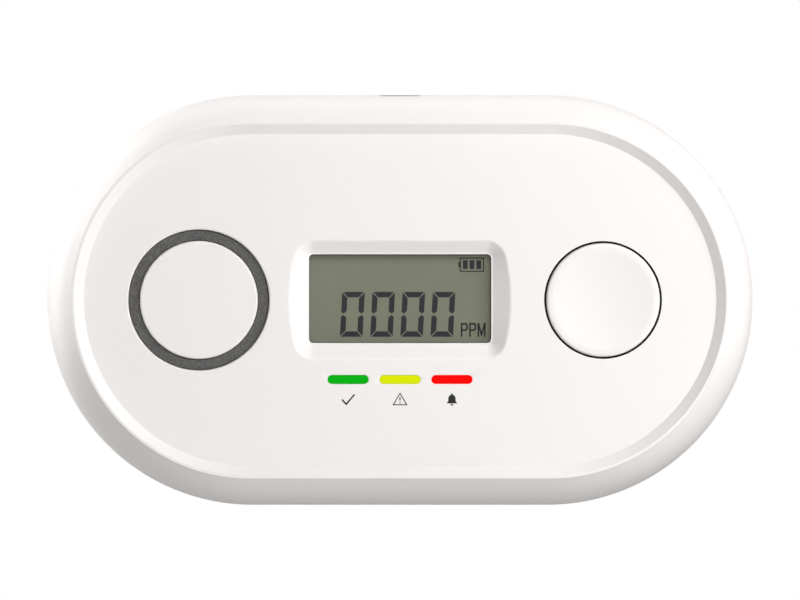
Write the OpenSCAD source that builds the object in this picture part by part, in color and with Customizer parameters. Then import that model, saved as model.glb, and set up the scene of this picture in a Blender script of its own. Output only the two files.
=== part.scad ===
// Wall-hung carbon monoxide detector with a liquid-crystal readout, a piezo sounder and three AA cells.
// Every module draws its piece lying on its back: X to the right, Y up the wall, Z from the wall
// towards the room. The stand() module turns the piece upright, so that the front faces -Y.

/* [Housing] */
// Overall width of the housing
body_w = 120.5; // [112:0.5:150]
// Overall height of the housing
body_h = 70; // [66:0.5:90]
// Overall depth, from the wall to the front rim
body_d = 38; // [37:0.5:48]
// Thickness of the side walls and of the rear floor
wall = 2.2; // [1.8:0.1:2.8]
// Thickness of the front panel
panel_t = 2; // [1.6:0.1:2.6]
// Depth of the front panel below the rim
panel_recess = 1.2; // [0.6:0.1:2]
// Width that the rounded side takes in front view, from the outline to the rim
rim_inset = 4.35; // [3:0.05:6]
// Width of the flat land on top of the rim
rim_land = 0.3; // [0.2:0.05:0.8]
// Width of the slope from the rim down to the front panel
rim_slope_w = 1.7; // [1:0.1:3]
// Radius of the rear edge
rear_edge_r = 5; // [3.5:0.5:6]
// Height of the rear cover, from the wall to the parting line
rear_cover_h = 15; // [14:0.5:17]

/* [Display] */
// Width of the display window
window_w = 31; // [26:0.5:34]
// Height of the display window
window_h = 15.4; // [12:0.1:17]
// Width of the window's sloping frame at its left and right
window_slope_w = 3.4; // [2:0.1:4]
// Height of the window's sloping frame at its top and bottom
window_slope_h = 2.25; // [1.5:0.1:3]
// Thickness of the clear lens
lens_t = 1; // [0.8:0.1:1.5]
// Thickness of the liquid-crystal glass
glass_t = 2.8; // [2:0.1:3]

/* [Test button] */
// Space between the display's holder and the button's collar
button_clear = 2.6; // [1:0.1:5]
// Diameter of the button's hole in the front panel
button_hole_d = 20; // [16:0.5:22]
// Gap between the button and its hole, all round
button_gap = 0.3; // [0.2:0.05:0.5]
// Travel of the button
button_travel = 0.8; // [0.4:0.1:1]
// Depth of the dish in the button's face
dish_depth = 0.5; // [0.2:0.1:0.8]

/* [Sounder] */
// Space between the display's holder and the sounder
sounder_clear = 1.2; // [0.5:0.1:4]
// Outer diameter of the sound slot in the front panel
slot_od = 24; // [20:0.5:25]
// Width of the sound slot
slot_w = 1.95; // [1.5:0.05:2.5]

/* [Indicator lights] */
// Space between two light windows
light_space = 1.85; // [1.6:0.05:3]
// Width of one light window
light_w = 7; // [4:0.5:7.5]
// Height of one light window
light_h = 1.5; // [1:0.1:2]
// Space between the display's holder and the light pipes
light_clear = 0.5; // [0.3:0.1:2]

/* [Battery] */
// Diameter of one cell
cell_d = 14.2; // [13.5:0.1:14.5]
// Length of one cell, with its positive cap
cell_l = 50.5; // [44:0.5:51]
// Space between two cells
cell_space = 0.6; // [0.4:0.1:1]
// Number of cells side by side
cell_count = 3; // [3]
// Thickness of the battery door
door_t = 2; // [1.8:0.1:2.2]
// Radius of the door's hinge barrel
barrel_r = 1.6; // [1.4:0.1:1.8]

/* [Wall fixing] */
// Spacing of the two keyholes
keyhole_spacing = 92; // [90:0.5:96]
// Diameter of a keyhole's entry
keyhole_entry_d = 8.5; // [7:0.5:9]
// Width of a keyhole's neck
keyhole_neck_w = 4.4; // [3.5:0.1:5]
// Drop of the detector when it is hung on its screws
keyhole_drop = 8; // [6:0.5:9]

/* [Circuit board] */
// Thickness of the circuit board
board_t = 1.6; // [1:0.2:2]
// Room between the circuit board and the front panel
board_room = 8.8; // [8.6:0.1:9.2]

/* [Hidden] */
$fn = 96;
eps = 0.01;
past = 1;

// Clearances
slide_gap = 0.1;
seat_gap = 0.05;
door_gap = 0.3;
pin_gap = 0.05;

// Housing outline: a disc of radius body_r swept along a spine of half-length spine
body_r = body_h / 2;
spine = body_w / 2 - body_r;
inner_r = body_r - wall;
rim_angle = 45;
side_r = rim_inset / (1 - cos(rim_angle));
shoulder_z = body_d - side_r * sin(rim_angle);
side_centre_r = body_r - side_r;
panel_z = body_d - panel_recess;
panel_in_z = panel_z - panel_t;
rim_r = body_r - rim_inset - rim_land;
panel_r = rim_r - rim_slope_w;

// Lap joint between the covers
tongue_t = 1;
tongue_h = 2;
reveal = 0.35;

// Circuit board levels
board_front_z = panel_in_z - board_room;
board_rear_z = board_front_z - board_t;
board_edge_gap = 1.2;
board_hole_gap = 0.4;

// Display stack
window_lip_t = 0.5;
window_lip_w = 0.2;
window_corner_r = 0.7;
window_floor_z = panel_in_z + window_lip_t;
frame_corner_r = 3.4;
frame_bulge = 0.9;
lens_margin = 2;
lens_rear_z = panel_in_z - lens_t;
lens_rib_t = 1;
lens_space = 0.2;
glass_margin = 2.7;
glass_ledge = 1.2;
glass_front_z = lens_rear_z - lens_space;
glass_rear_z = glass_front_z - glass_t;
glass_w = window_w + 2 * glass_margin;
glass_h = window_h + 2 * glass_margin - 0.2;
holder_wall = 1.2;
holder_floor = 1.2;
holder_rim = 4;
holder_w = glass_w + 2 * (slide_gap + holder_wall);
holder_h = glass_h + 2 * (slide_gap + holder_wall);
strip_w = 1.8;
strip_y = glass_h / 2 - 1.6;
strip_l = glass_w - 3.2;

// Indicator lights
light_pitch = light_w + light_space;
light_proud = 0.05;
pipe_flange = 0.7;
pipe_flange_t = 1;
pipe_led_gap = 0.4;
led_size = [3, 1.4, 1.5];
light_drop = holder_h / 2 + light_clear + pipe_flange + light_h / 2;

// Test button
button_r = button_hole_d / 2 - button_gap;
button_proud = 0.4;
button_top_z = panel_z + button_proud;
button_edge_r = 0.6;
button_cap_t = 1.6;
button_rim_w = 1.4;
button_dish_r = button_r - button_rim_w;
button_skirt_t = 1.3;
button_skirt_l = 1;
button_flange_w = 1.2;
button_flange_t = 1.2;
button_flange_z = panel_in_z - slide_gap - button_flange_t;
collar_gap = 0.4;
collar_t = 1.2;
collar_l = 4.6;
collar_in_r = button_r + button_flange_w + collar_gap;
button_x = holder_w / 2 + button_clear + collar_in_r + collar_t;
switch_size = 6;
switch_h = 3.4;
stem_r = 2.2;
plunger_r = 1.7;
plunger_sunk = 0.3;
plunger_proud = 0.8;
switch_well = button_travel + 0.5;
stem_z = board_front_z + switch_h + button_travel + plunger_proud;

// Sounder
slot_r = slot_od / 2;
slot_in_r = slot_r - slot_w;
spoke_w = 1.6;
spoke_t = 0.8;
spoke_count = 4;
ring_recess = 0.5;
case_r = slot_r + 1.6;
case_h = 7.2;
case_wall = 1;
case_hole_r = 1.8;
plate_t = 0.25;
plate_h = 2.2;
plate_r = case_r - case_wall - 0.8;
plate_ledge_w = 1;
plate_z = board_front_z + plate_h;
ceramic_r = 7;
ceramic_t = 0.2;
gasket_w = 1.5;
sounder_pin_y = ceramic_r + 3.6;
sounder_x = holder_w / 2 + sounder_clear + case_r;

// Top vent and its grille
vent_w = 9.4;
vent_h = 7;
vent_z = rear_cover_h + tongue_h + 0.6;
vent_flange_w = 1.1;
vent_flange_t = 1;
vent_flange_low = 0.9;
vent_slots = 3;
vent_slot_h = 1;
vent_slot_pitch = 1.9;
vent_slot_margin = 1.2;
scoop_r = 21;
scoop_depth = 0.4;
scoop_l = 5;

// Gas inlet slots in the underside
inlet_count = 7;
inlet_pitch = 3.2;
inlet_size = [1.4, 7];

// Battery tray
contact_seat = 0.02;
contact_t = 0.4;
contact_room = 0.2;
spring_l = 5.7;
tray_l = cell_l + spring_l + 2 * contact_t;
cell_gap = 0.25;
cell_rest = 0.4;
cell_pitch = cell_d + cell_space;
cell_z = door_t + cell_rest + cell_d / 2;
tray_wall = 3;
tray_roof_t = 1.5;
tray_top_z = cell_z + cell_d / 2 + cell_gap + tray_roof_t;
tray_h = (cell_count - 1) * cell_pitch + cell_d + 2 * cell_gap;
cradle_z = cell_z + cell_d / 4;
ledge_w = 2;
ledge_gap = 0.15;

// Cells
cell_nub_r = 2.75;
cell_nub_h = 1.2;
cell_base_edge = 0.75;
cell_top_edge = 0.8;

// Battery door and its hinge
door_w = tray_l + 2 * ledge_w - 2 * door_gap;
door_low_y = -tray_h / 2 - ledge_w + door_gap;
hinge_y = tray_h / 2 + ledge_w;
hinge_z = barrel_r;
hinge_pin_r = 1;
hinge_pin_l = 1.5;
hinge_strip_w = 4;
hinge_strip_h = 5.5;
hinge_strip_top = hinge_y + barrel_r + door_gap + 1.5;
socket_room = 0.3;
latch_w = 12;
latch_l = 8;
latch_slit = 0.8;
notch_w = 2.2;
notch_depth = 1.4;
grip_count = 4;
grip_pitch = 1.6;
grip_w = 0.7;
grip_depth = 0.4;
grip_margin = 1.2;
pad_size = [8, 3, 0.3];

// Wall fixing
keyhole_x = keyhole_spacing / 2;
keyhole_low_y = -3;
keyhole_head_room = 5;
keyhole_margin = 0.4;
keyhole_wall = 1.2;

// Screws that hold the covers together
boss_r = 3.4;
boss_edge = 5.6;
screw_r = 1.3;
screw_head_r = 2.7;
screw_head_h = 1.8;
screw_sink = 2.8;
screw_l = 18;
screw_hole_r = 1.6;
screw_seat_r = 3.1;
screw_seat_wall = 1.3;
screw_seat_clear = 0.5;
pilot_gap = 0.02;
boss_x = tray_l / 2 + ledge_w + hinge_strip_w + screw_seat_clear + screw_seat_r;
boss_reach = inner_r - boss_r - boss_edge;
boss_y = sqrt(pow(boss_reach, 2) - pow(max(boss_x - spine, 0), 2));

// Screws that hold the circuit board
standoff_x = 21;
standoff_y = 20;
standoff_r = 2.6;
board_screw_r = 1;
board_screw_head_r = 1.9;
board_screw_head_h = 1.3;
board_screw_l = 6;

// Screw shapes, as shares of the head
head_dome = 0.4;
head_dome_r = 0.72;
cross_l = 1.2;
cross_w = 0.24;
cross_depth = 0.55;
tip_l = 1;
tip_r = 0.4;

// Gas sensor, behind the board at the right end
sensor_offset = 0.475;
sensor_x = (tray_l / 2 + tray_wall + spine + inner_r) / 2 + sensor_offset;
sensor_r = 7.3;
sensor_h = 9.6;
sensor_rim_w = 0.5;
sensor_rim_h = 1.2;
sensor_well = 2;
sensor_cap_r = 6.2;
sensor_cap_h = 1.4;
sensor_hole_r = 1.2;
sensor_vents = 6;
sensor_vent_r = 0.6;
sensor_vent_reach = 3.7;
sensor_pin_reach = 4.4;
pin_r = 0.35;
pin_gap_r = 0.1;
pin_proud = 1.2;

// Parts behind the board at the left end
coil_x = -sensor_x;
coil_r = 4.4;
coil_h = 9;
coil_flange_w = 1.2;
coil_flange_t = 1.5;
capacitor_r = 3.15;
capacitor_h = 6;
capacitor_share = 0.329;
capacitor_y = coil_r + capacitor_r + capacitor_share * (boss_y - boss_r - coil_r - 2 * capacitor_r);

// Parts in the middle of the board
chip_y = 6;
chip_w = 10;
chip_h = 1.3;
chip_lift = 0.1;
lead_w = 0.3;
lead_l = 1.1;
lead_h = 0.5;
lead_lap = 0.1;
lead_last = 4;
crystal_x = 13;
crystal_share = 0.58;
crystal_size = [10.5, 4.6, crystal_share * (board_rear_z - tray_top_z)];
part_size = [1.6, 0.8, 0.5];
part_pitch = 3.2;
front_row_y = 17.5;
front_row_last = 5;
rear_row_y = -6;
rear_row_last = 4;
driver_x = 10;
driver_y = -15.5;
driver_size = [4, 3, 1.1];

// Contacts and their springs
contact_w = 12;
contact_h = 11;
tab_w = 2;
tab_gap = 0.3;
tab_proud = 0.6;
spring_base_r = 5.2;
spring_tip_r = 3.4;
spring_wire_r = 0.4;
spring_turns = 3.5;
spring_steps = 14;
spring_sides = 8;

// ---------------------------------------------------------------- helpers

// Turns a piece from lying on its back to standing upright
module stand() rotate([90, 0, 0]) children();

// Sweeps a profile, drawn as (distance from the spine, height), once round the housing's outline
module round_the_spine() {
    for (side = [-1, 1])
        translate([side * spine, 0, 0])
            rotate([0, 0, side > 0 ? -90 : 90])
                rotate_extrude(angle = 180)
                    children();
    rotate([90, 0, 90])
        linear_extrude(2 * spine, center = true) {
            children();
            mirror([1, 0]) children();
        }
}

// Places its children at the left and the right
module both_sides(x) for (side = [-1, 1]) translate([side * x, 0, 0]) children();

// Places its children at four corners
module four_corners(x, y) for (sx = [-1, 1], sy = [-1, 1]) translate([sx * x, sy * y, 0]) children();

// Rectangle with true arcs at its corners
module rounded_rect(w, h, r) {
    square([w - 2 * r, h], center = true);
    square([w, h - 2 * r], center = true);
    four_corners(w / 2 - r, h / 2 - r) circle(r);
}

// Flat slot with round ends
module pill(w, h) {
    square([w - h, h], center = true);
    both_sides((w - h) / 2) circle(h / 2);
}

// Plate standing on z with any 2D outline
module plate(z, t) translate([0, 0, z]) linear_extrude(t) children();

// Hollow cylinder
module tube(outer_r, inner_r, z, h)
    translate([0, 0, z])
        difference() {
            cylinder(r = outer_r, h = h);
            translate([0, 0, -past]) cylinder(r = inner_r, h = h + 2 * past);
        }

// Cylinder lying along X, centred on x = 0
module bar_x(r, l) rotate([0, 90, 0]) cylinder(r = r, h = l, center = true);

// Closed wire coil along +X that narrows from one end to the other
module cone_spring(base_r, tip_r, l, wire_r, turns) {
    rings = floor(turns * spring_steps);
    function along(i) = wire_r + (l - 2 * wire_r) * i / rings;
    function reach(i) = base_r + (tip_r - base_r) * i / rings;
    points = [
        for (i = [0:rings], k = [0:spring_sides - 1])
            let (turn = 360 * i / spring_steps, roll = 360 * k / spring_sides, r = reach(i) + wire_r * cos(roll))
                [along(i) + wire_r * sin(roll), r * cos(turn), r * sin(turn)]
    ];
    walls = [
        for (i = [0:rings - 1], k = [0:spring_sides - 1])
            let (a = i * spring_sides + k, b = i * spring_sides + (k + 1) % spring_sides)
                [a, b, b + spring_sides, a + spring_sides]
    ];
    first = [for (k = [spring_sides - 1:-1:0]) k];
    last = [for (k = [0:spring_sides - 1]) rings * spring_sides + k];
    polyhedron(points, concat(walls, [first, last]), convexity = 8);
}

// ---------------------------------------------------------------- housing

// Profile of the housing's outside, from the parting line to the rim
module front_profile() {
    difference() {
        union() {
            translate([0, rear_cover_h]) square([body_r, shoulder_z - rear_cover_h]);
            translate([0, shoulder_z - eps]) square([side_centre_r, body_d - shoulder_z + eps]);
            intersection() {
                translate([side_centre_r, shoulder_z]) circle(side_r);
                translate([0, shoulder_z]) square([body_r + past, body_d - shoulder_z]);
            }
        }
        polygon([
            [0, panel_z], [panel_r, panel_z], [rim_r, body_d], [rim_r + eps, body_d + past], [0, body_d + past]
        ]);
        polygon([
            [body_r - reveal, rear_cover_h], [body_r + eps, rear_cover_h + reveal],
            [body_r + past, rear_cover_h + reveal], [body_r + past, rear_cover_h - past],
            [body_r - reveal, rear_cover_h - past]
        ]);
    }
}

// Profile of the space inside the front cover
module front_hollow_profile() {
    translate([0, rear_cover_h - past]) square([inner_r, shoulder_z - rear_cover_h + past]);
    translate([0, shoulder_z - eps]) square([side_centre_r, panel_in_z - shoulder_z + eps]);
    intersection() {
        translate([side_centre_r, shoulder_z]) circle(side_r - wall);
        translate([0, shoulder_z - eps]) square([body_r, panel_in_z - shoulder_z + eps]);
    }
    translate([0, rear_cover_h - past])
        square([inner_r + tongue_t + slide_gap, tongue_h + 2 * slide_gap + past]);
}

// Profile of everything inside the rear outline, up to height h
module rear_outline_profile(h) {
    translate([0, rear_edge_r]) square([body_r, h - rear_edge_r]);
    square([body_r - rear_edge_r, rear_edge_r + eps]);
    translate([body_r - rear_edge_r, rear_edge_r]) circle(rear_edge_r);
}

// Profile of the rear cover's outside, from the wall to the parting line
module rear_profile() {
    difference() {
        rear_outline_profile(rear_cover_h);
        polygon([
            [body_r - reveal, rear_cover_h], [body_r + eps, rear_cover_h - reveal],
            [body_r + past, rear_cover_h - reveal], [body_r + past, rear_cover_h + past],
            [body_r - reveal, rear_cover_h + past]
        ]);
    }
    translate([inner_r, rear_cover_h - past]) square([tongue_t, tongue_h + past]);
}

// Profile of the space inside the rear cover
module rear_hollow_profile() {
    corner = rear_edge_r - wall;
    translate([0, wall + corner]) square([inner_r, rear_cover_h]);
    translate([0, wall]) square([inner_r - corner, corner + eps]);
    translate([inner_r - corner, wall + corner]) circle(corner);
}

// Barrel-sided outline of the window frame where it meets the front panel
module window_frame_outline(z) {
    half_w = window_w / 2 + window_slope_w;
    half_h = window_h / 2 + window_slope_h;
    for (sx = [-1, 1], sy = [-1, 1])
        translate([sx * (half_w - frame_bulge - frame_corner_r), sy * (half_h - frame_corner_r), z])
            cylinder(r = frame_corner_r, h = eps, $fn = 32);
    for (sx = [-1, 1])
        translate([sx * (half_w - frame_corner_r), 0, z]) cylinder(r = frame_corner_r, h = eps, $fn = 32);
}

// Cut for the window: sloping frame, then the clear opening
module window_cut() {
    hull() {
        window_frame_outline(panel_z);
        plate(window_floor_z, eps)
            square([window_w + 2 * window_lip_w, window_h + 2 * window_lip_w], center = true);
    }
    plate(panel_in_z - past, panel_t) rounded_rect(window_w, window_h, window_corner_r);
}

// Cut for the ring-shaped sound slot, with spokes left under the ring
module sound_slot_cut() {
    difference() {
        tube(slot_r, slot_in_r, panel_in_z - past, panel_t + 2 * past);
        for (k = [0:spoke_count - 1])
            rotate([0, 0, 45 + 360 * k / spoke_count])
                translate([0, -spoke_w / 2, panel_in_z - 2 * past])
                    cube([slot_r + past, spoke_w, spoke_t + 2 * past]);
    }
}

// Shallow scoop in the top side, in front of the vent grille
module top_scoop_cut()
    translate([0, body_r + scoop_r - scoop_depth, vent_z + vent_h])
        cylinder(r = scoop_r, h = scoop_l);

module inlet_slots_cut()
    for (k = [0:inlet_count - 1])
        translate([(k - (inlet_count - 1) / 2) * inlet_pitch - inlet_size[0] / 2, -body_r - past, vent_z])
            cube([inlet_size[0], wall + 2 * past, inlet_size[1]]);

module front_cover()
    color("whitesmoke")
        stand()
            difference() {
                union() {
                    difference() {
                        round_the_spine() front_profile();
                        round_the_spine() front_hollow_profile();
                    }
                    // Bosses for the housing screws
                    four_corners(boss_x, boss_y)
                        translate([0, 0, rear_cover_h]) cylinder(r = boss_r, h = panel_in_z - rear_cover_h + eps);
                    // Standoffs for the circuit board
                    four_corners(standoff_x, standoff_y)
                        translate([0, 0, board_front_z]) cylinder(r = standoff_r, h = board_room + eps);
                    // Guide collar round the test button
                    translate([button_x, 0, 0])
                        tube(collar_in_r + collar_t, collar_in_r, panel_in_z - collar_l, collar_l + eps);
                    // Locating rib round the display lens
                    plate(lens_rear_z, lens_t + eps)
                        difference() {
                            rounded_rect(window_w + 2 * (lens_margin + slide_gap + lens_rib_t),
                                         window_h + 2 * (lens_margin + slide_gap + lens_rib_t), window_corner_r);
                            square([window_w + 2 * (lens_margin + slide_gap),
                                    window_h + 2 * (lens_margin + slide_gap)], center = true);
                        }
                }
                window_cut();
                translate([-sounder_x, 0, 0]) sound_slot_cut();
                translate([button_x, 0, panel_in_z - eps]) cylinder(r = button_hole_d / 2, h = panel_t + past);
                for (k = [-1:1])
                    translate([k * light_pitch, -light_drop, 0])
                        plate(panel_in_z - past, panel_t + 2 * past) pill(light_w, light_h);
                translate([-vent_w / 2, inner_r - past, vent_z]) cube([vent_w, wall + 2 * past, vent_h]);
                top_scoop_cut();
                inlet_slots_cut();
                four_corners(boss_x, boss_y)
                    translate([0, 0, rear_cover_h - past])
                        cylinder(r = screw_r + pilot_gap, h = screw_sink + screw_l - rear_cover_h + 2 * past);
                four_corners(standoff_x, standoff_y)
                    translate([0, 0, board_front_z - past])
                        cylinder(r = board_screw_r + pilot_gap, h = board_screw_l + 2 * past);
            }

// Keyhole as seen from the wall: round entry below, neck above
module keyhole_outline() {
    translate([0, keyhole_low_y]) circle(keyhole_entry_d / 2);
    translate([-keyhole_neck_w / 2, keyhole_low_y]) square([keyhole_neck_w, keyhole_drop]);
    translate([0, keyhole_low_y + keyhole_drop]) circle(keyhole_neck_w / 2);
}

// Outline of the pocket behind a keyhole, grown by a margin
module keyhole_pocket_outline(grow) {
    half = keyhole_entry_d / 2 + keyhole_margin + grow;
    translate([-half, keyhole_low_y - half]) square([2 * half, keyhole_drop + 2 * half]);
}

// Space for the cells: open at the rear, with a cradle under each cell
module tray_cut() {
    translate([-tray_l / 2, -tray_h / 2, -past]) cube([tray_l, tray_h, cradle_z + past]);
    for (row = [0:cell_count - 1])
        translate([0, row_y(row), cell_z]) bar_x(cell_d / 2 + cell_gap, tray_l);
    // Square ends, for the contact plates
    both_sides(tray_l / 2 - (contact_t + contact_room) / 2)
        translate([-(contact_t + contact_room) / 2, -tray_h / 2, -past])
            cube([contact_t + contact_room, tray_h, cell_z + contact_h / 2 + contact_room + past]);
}

// Space for the door, its barrel and its latch
module door_cut() {
    half_w = tray_l / 2 + ledge_w;
    groove_r = barrel_r + door_gap;
    translate([-half_w, -tray_h / 2 - ledge_w, -past])
        cube([2 * half_w, hinge_y + tray_h / 2 + ledge_w, door_t + ledge_gap + past]);
    translate([0, hinge_y, hinge_z]) bar_x(groove_r, 2 * half_w);
    translate([-half_w, hinge_y - groove_r, -past]) cube([2 * half_w, 2 * groove_r, hinge_z + past]);
    // Finger notch below the latch
    translate([-latch_w / 2, -tray_h / 2 - ledge_w - notch_w, -past])
        cube([latch_w, notch_w + eps, notch_depth + past]);
}

// Solids that stand on the rear floor: battery tray, hinge strip, screw bosses and keyhole pockets
module rear_inner_solids() {
    translate([-tray_l / 2 - tray_wall, -tray_h / 2 - tray_wall, 0])
        cube([tray_l + 2 * tray_wall, tray_h + 2 * tray_wall, tray_top_z]);
    translate([-tray_l / 2 - ledge_w - hinge_strip_w, tray_h / 2, 0])
        cube([tray_l + 2 * ledge_w + 2 * hinge_strip_w, hinge_strip_top - tray_h / 2, hinge_strip_h]);
    four_corners(boss_x, boss_y) cylinder(r = screw_seat_r + screw_seat_wall, h = rear_cover_h);
    both_sides(keyhole_x)
        plate(0, wall + keyhole_head_room + keyhole_wall) keyhole_pocket_outline(keyhole_wall);
}

module rear_cover()
    color("whitesmoke")
        stand()
            difference() {
                union() {
                    difference() {
                        round_the_spine() rear_profile();
                        round_the_spine() rear_hollow_profile();
                    }
                    intersection() {
                        rear_inner_solids();
                        round_the_spine() rear_outline_profile(body_d);
                    }
                }
                tray_cut();
                door_cut();
                both_sides(tray_l / 2 + ledge_w + hinge_pin_l / 2)
                    translate([0, hinge_y, hinge_z]) bar_x(hinge_pin_r + pin_gap, hinge_pin_l + 2 * socket_room);
                both_sides(keyhole_x) {
                    plate(-past, wall + 2 * past) keyhole_outline();
                    plate(wall, keyhole_head_room) keyhole_pocket_outline(0);
                }
                four_corners(boss_x, boss_y) {
                    translate([0, 0, -past]) cylinder(r = screw_hole_r, h = rear_cover_h + 2 * past);
                    translate([0, 0, -past]) cylinder(r = screw_seat_r, h = screw_sink + past);
                }
                // Slots for the two strips that run up to the circuit board
                for (side = [-1, 1])
                    translate([0, 0, cradle_z]) contact_strip_slot(side, tray_top_z - cradle_z + past);
            }

module battery_door()
    color("whitesmoke")
        stand()
            difference() {
                union() {
                    translate([-door_w / 2, door_low_y, 0]) cube([door_w, hinge_y - door_low_y, door_t]);
                    translate([0, hinge_y, hinge_z]) bar_x(barrel_r, door_w);
                    translate([0, hinge_y, hinge_z]) bar_x(hinge_pin_r, door_w + 2 * door_gap + 2 * hinge_pin_l);
                    // Pads that keep the cells down
                    for (row = [0:cell_count - 1], side = [-1, 1])
                        translate([side * cell_l / 4, row_y(row), door_t - eps])
                            linear_extrude(pad_size[2]) square([pad_size[0], pad_size[1]], center = true);
                }
                // Slits that free the latch tongue
                both_sides(latch_w / 2)
                    translate([-latch_slit / 2, door_low_y - past, -past])
                        cube([latch_slit, latch_l + past, door_t + 2 * past]);
                // Grip grooves on the latch tongue
                for (k = [0:grip_count - 1])
                    translate([-latch_w / 2 + grip_margin, door_low_y + grip_margin + k * grip_pitch, -past])
                        cube([latch_w - 2 * grip_margin, grip_w, grip_depth + past]);
            }

// ---------------------------------------------------------------- front pieces

module test_button()
    color("white")
        stand()
            translate([button_x, 0, 0])
                difference() {
                    union() {
                        rotate_extrude() {
                            square([button_r - button_edge_r, button_top_z]);
                            square([button_r, button_top_z - button_edge_r]);
                            translate([button_r - button_edge_r, button_top_z - button_edge_r]) circle(button_edge_r);
                        }
                        translate([0, 0, button_flange_z])
                            cylinder(r = button_r + button_flange_w, h = button_flange_t);
                    }
                    // Dish in the face
                    rotate_extrude() {
                        dish_r = (pow(button_dish_r, 2) + pow(dish_depth, 2)) / (2 * dish_depth);
                        intersection() {
                            translate([0, button_top_z - dish_depth + dish_r]) circle(dish_r);
                            translate([0, button_top_z - 2 * dish_depth]) square([button_dish_r, 4 * dish_depth]);
                        }
                    }
                    // Hollow underside, round the stem
                    tube(button_r - button_skirt_t, stem_r, stem_z - past,
                         button_top_z - dish_depth - button_cap_t - stem_z + past);
                    translate([0, 0, -past]) cylinder(r = button_r + 2 * button_flange_w, h = stem_z + past);
                    tube(button_r + 2 * button_flange_w, button_r - button_skirt_t - eps, stem_z - past,
                         button_flange_z - button_skirt_l - stem_z + past);
                }

module sounder_ring()
    color([0.33, 0.33, 0.33])
        stand()
            translate([-sounder_x, 0, 0])
                tube(slot_r - seat_gap, slot_in_r + seat_gap, panel_in_z + spoke_t,
                     panel_t - spoke_t - ring_recess);

module top_vent_grille()
    color([0.2, 0.2, 0.21])
        stand()
            difference() {
                union() {
                    translate([-vent_w / 2 + seat_gap, inner_r - eps, vent_z + seat_gap])
                        cube([vent_w - 2 * seat_gap, wall + eps, vent_h - 2 * seat_gap]);
                    translate([-vent_w / 2 - vent_flange_w, inner_r - vent_flange_t, vent_z - vent_flange_low])
                        cube([vent_w + 2 * vent_flange_w, vent_flange_t, vent_h + 2 * vent_flange_low]);
                }
                for (k = [0:vent_slots - 1])
                    translate([-vent_w / 2 + vent_slot_margin, inner_r - 2 * past,
                               vent_z + vent_slot_margin + k * vent_slot_pitch])
                        cube([vent_w - 2 * vent_slot_margin, wall + 4 * past, vent_slot_h]);
            }

module display_lens()
    color([0.85, 0.9, 0.85, 0.4])
        stand()
            plate(lens_rear_z, lens_t)
                rounded_rect(window_w + 2 * lens_margin, window_h + 2 * lens_margin, window_corner_r);

module display_glass()
    color([0.48, 0.5, 0.43])
        stand()
            difference() {
                plate(glass_rear_z, glass_t) square([glass_w, glass_h], center = true);
                // The rear glass is shorter, which bares the contact ledge along the lower edge
                translate([-glass_w, -glass_h / 2 - past, glass_rear_z - past])
                    cube([2 * glass_w, past + glass_ledge, past + glass_t / 2]);
            }

module display_holder()
    color("ivory")
        stand()
            difference() {
                plate(board_front_z, glass_front_z - board_front_z) square([holder_w, holder_h], center = true);
                plate(glass_rear_z, glass_t + past)
                    square([glass_w + 2 * slide_gap, glass_h + 2 * slide_gap], center = true);
                plate(board_front_z + holder_floor, glass_rear_z)
                    square([glass_w - 2 * holder_rim, glass_h - 2 * holder_rim], center = true);
                contact_strip_outlines(board_front_z - past, glass_rear_z, slide_gap);
            }

// Both rubber strips' outlines, grown by a gap
module contact_strip_outlines(z, h, gap)
    for (side = [-1, 1])
        translate([0, side * strip_y, z])
            linear_extrude(h) square([strip_l + 2 * gap, strip_w + 2 * gap], center = true);

module display_contact_strips()
    color([0.85, 0.5, 0.6])
        stand()
            contact_strip_outlines(board_front_z, glass_rear_z - board_front_z, 0);

// One coloured light pipe: k is -1, 0 or 1 from left to right
module light_pipe(k)
    stand()
        translate([k * light_pitch, -light_drop, 0]) {
            pipe_low_z = board_front_z + led_size[2] + pipe_led_gap;
            plate(pipe_low_z, panel_z + light_proud - pipe_low_z)
                pill(light_w - 2 * seat_gap, light_h - 2 * seat_gap);
            plate(panel_in_z - pipe_flange_t, pipe_flange_t)
                pill(light_w + 2 * pipe_flange, light_h + 2 * pipe_flange);
        }

module light_pipe_green() color([0, 0.66, 0.05]) light_pipe(-1);
module light_pipe_yellow() color([0.85, 0.9, 0]) light_pipe(0);
module light_pipe_red() color([1, 0, 0]) light_pipe(1);

module indicator_leds()
    color("lightyellow")
        stand()
            for (k = [-1:1])
                translate([k * light_pitch, -light_drop, board_front_z])
                    linear_extrude(led_size[2]) square([led_size[0], led_size[1]], center = true);

// ---------------------------------------------------------------- circuit board

module circuit_board()
    color("darkgreen")
        stand()
            difference() {
                plate(board_rear_z, board_t)
                    union() {
                        both_sides(spine) circle(inner_r - board_edge_gap);
                        square([2 * spine, 2 * (inner_r - board_edge_gap)], center = true);
                    }
                four_corners(boss_x, boss_y)
                    translate([0, 0, board_rear_z - past])
                        cylinder(r = boss_r + board_hole_gap, h = board_t + 2 * past);
                four_corners(standoff_x, standoff_y)
                    translate([0, 0, board_rear_z - past])
                        cylinder(r = board_screw_r + slide_gap, h = board_t + 2 * past);
                for (side = [-1, 1])
                    translate([0, 0, board_rear_z - past]) contact_strip_slot(side, board_t + 2 * past);
                sensor_pin_places() board_pin_hole();
                sounder_pin_places() board_pin_hole();
            }

module board_pin_hole()
    translate([0, 0, board_rear_z - past]) cylinder(r = pin_r + pin_gap_r, h = board_t + 2 * past);

module sensor_pin_places()
    for (turn = [0:120:240])
        translate([sensor_x, 0, 0])
            rotate([0, 0, turn])
                translate([sensor_pin_reach, 0, 0])
                    children();

module sounder_pin_places()
    for (side = [-1, 1]) translate([-sounder_x, side * sounder_pin_y, 0]) children();

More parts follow.
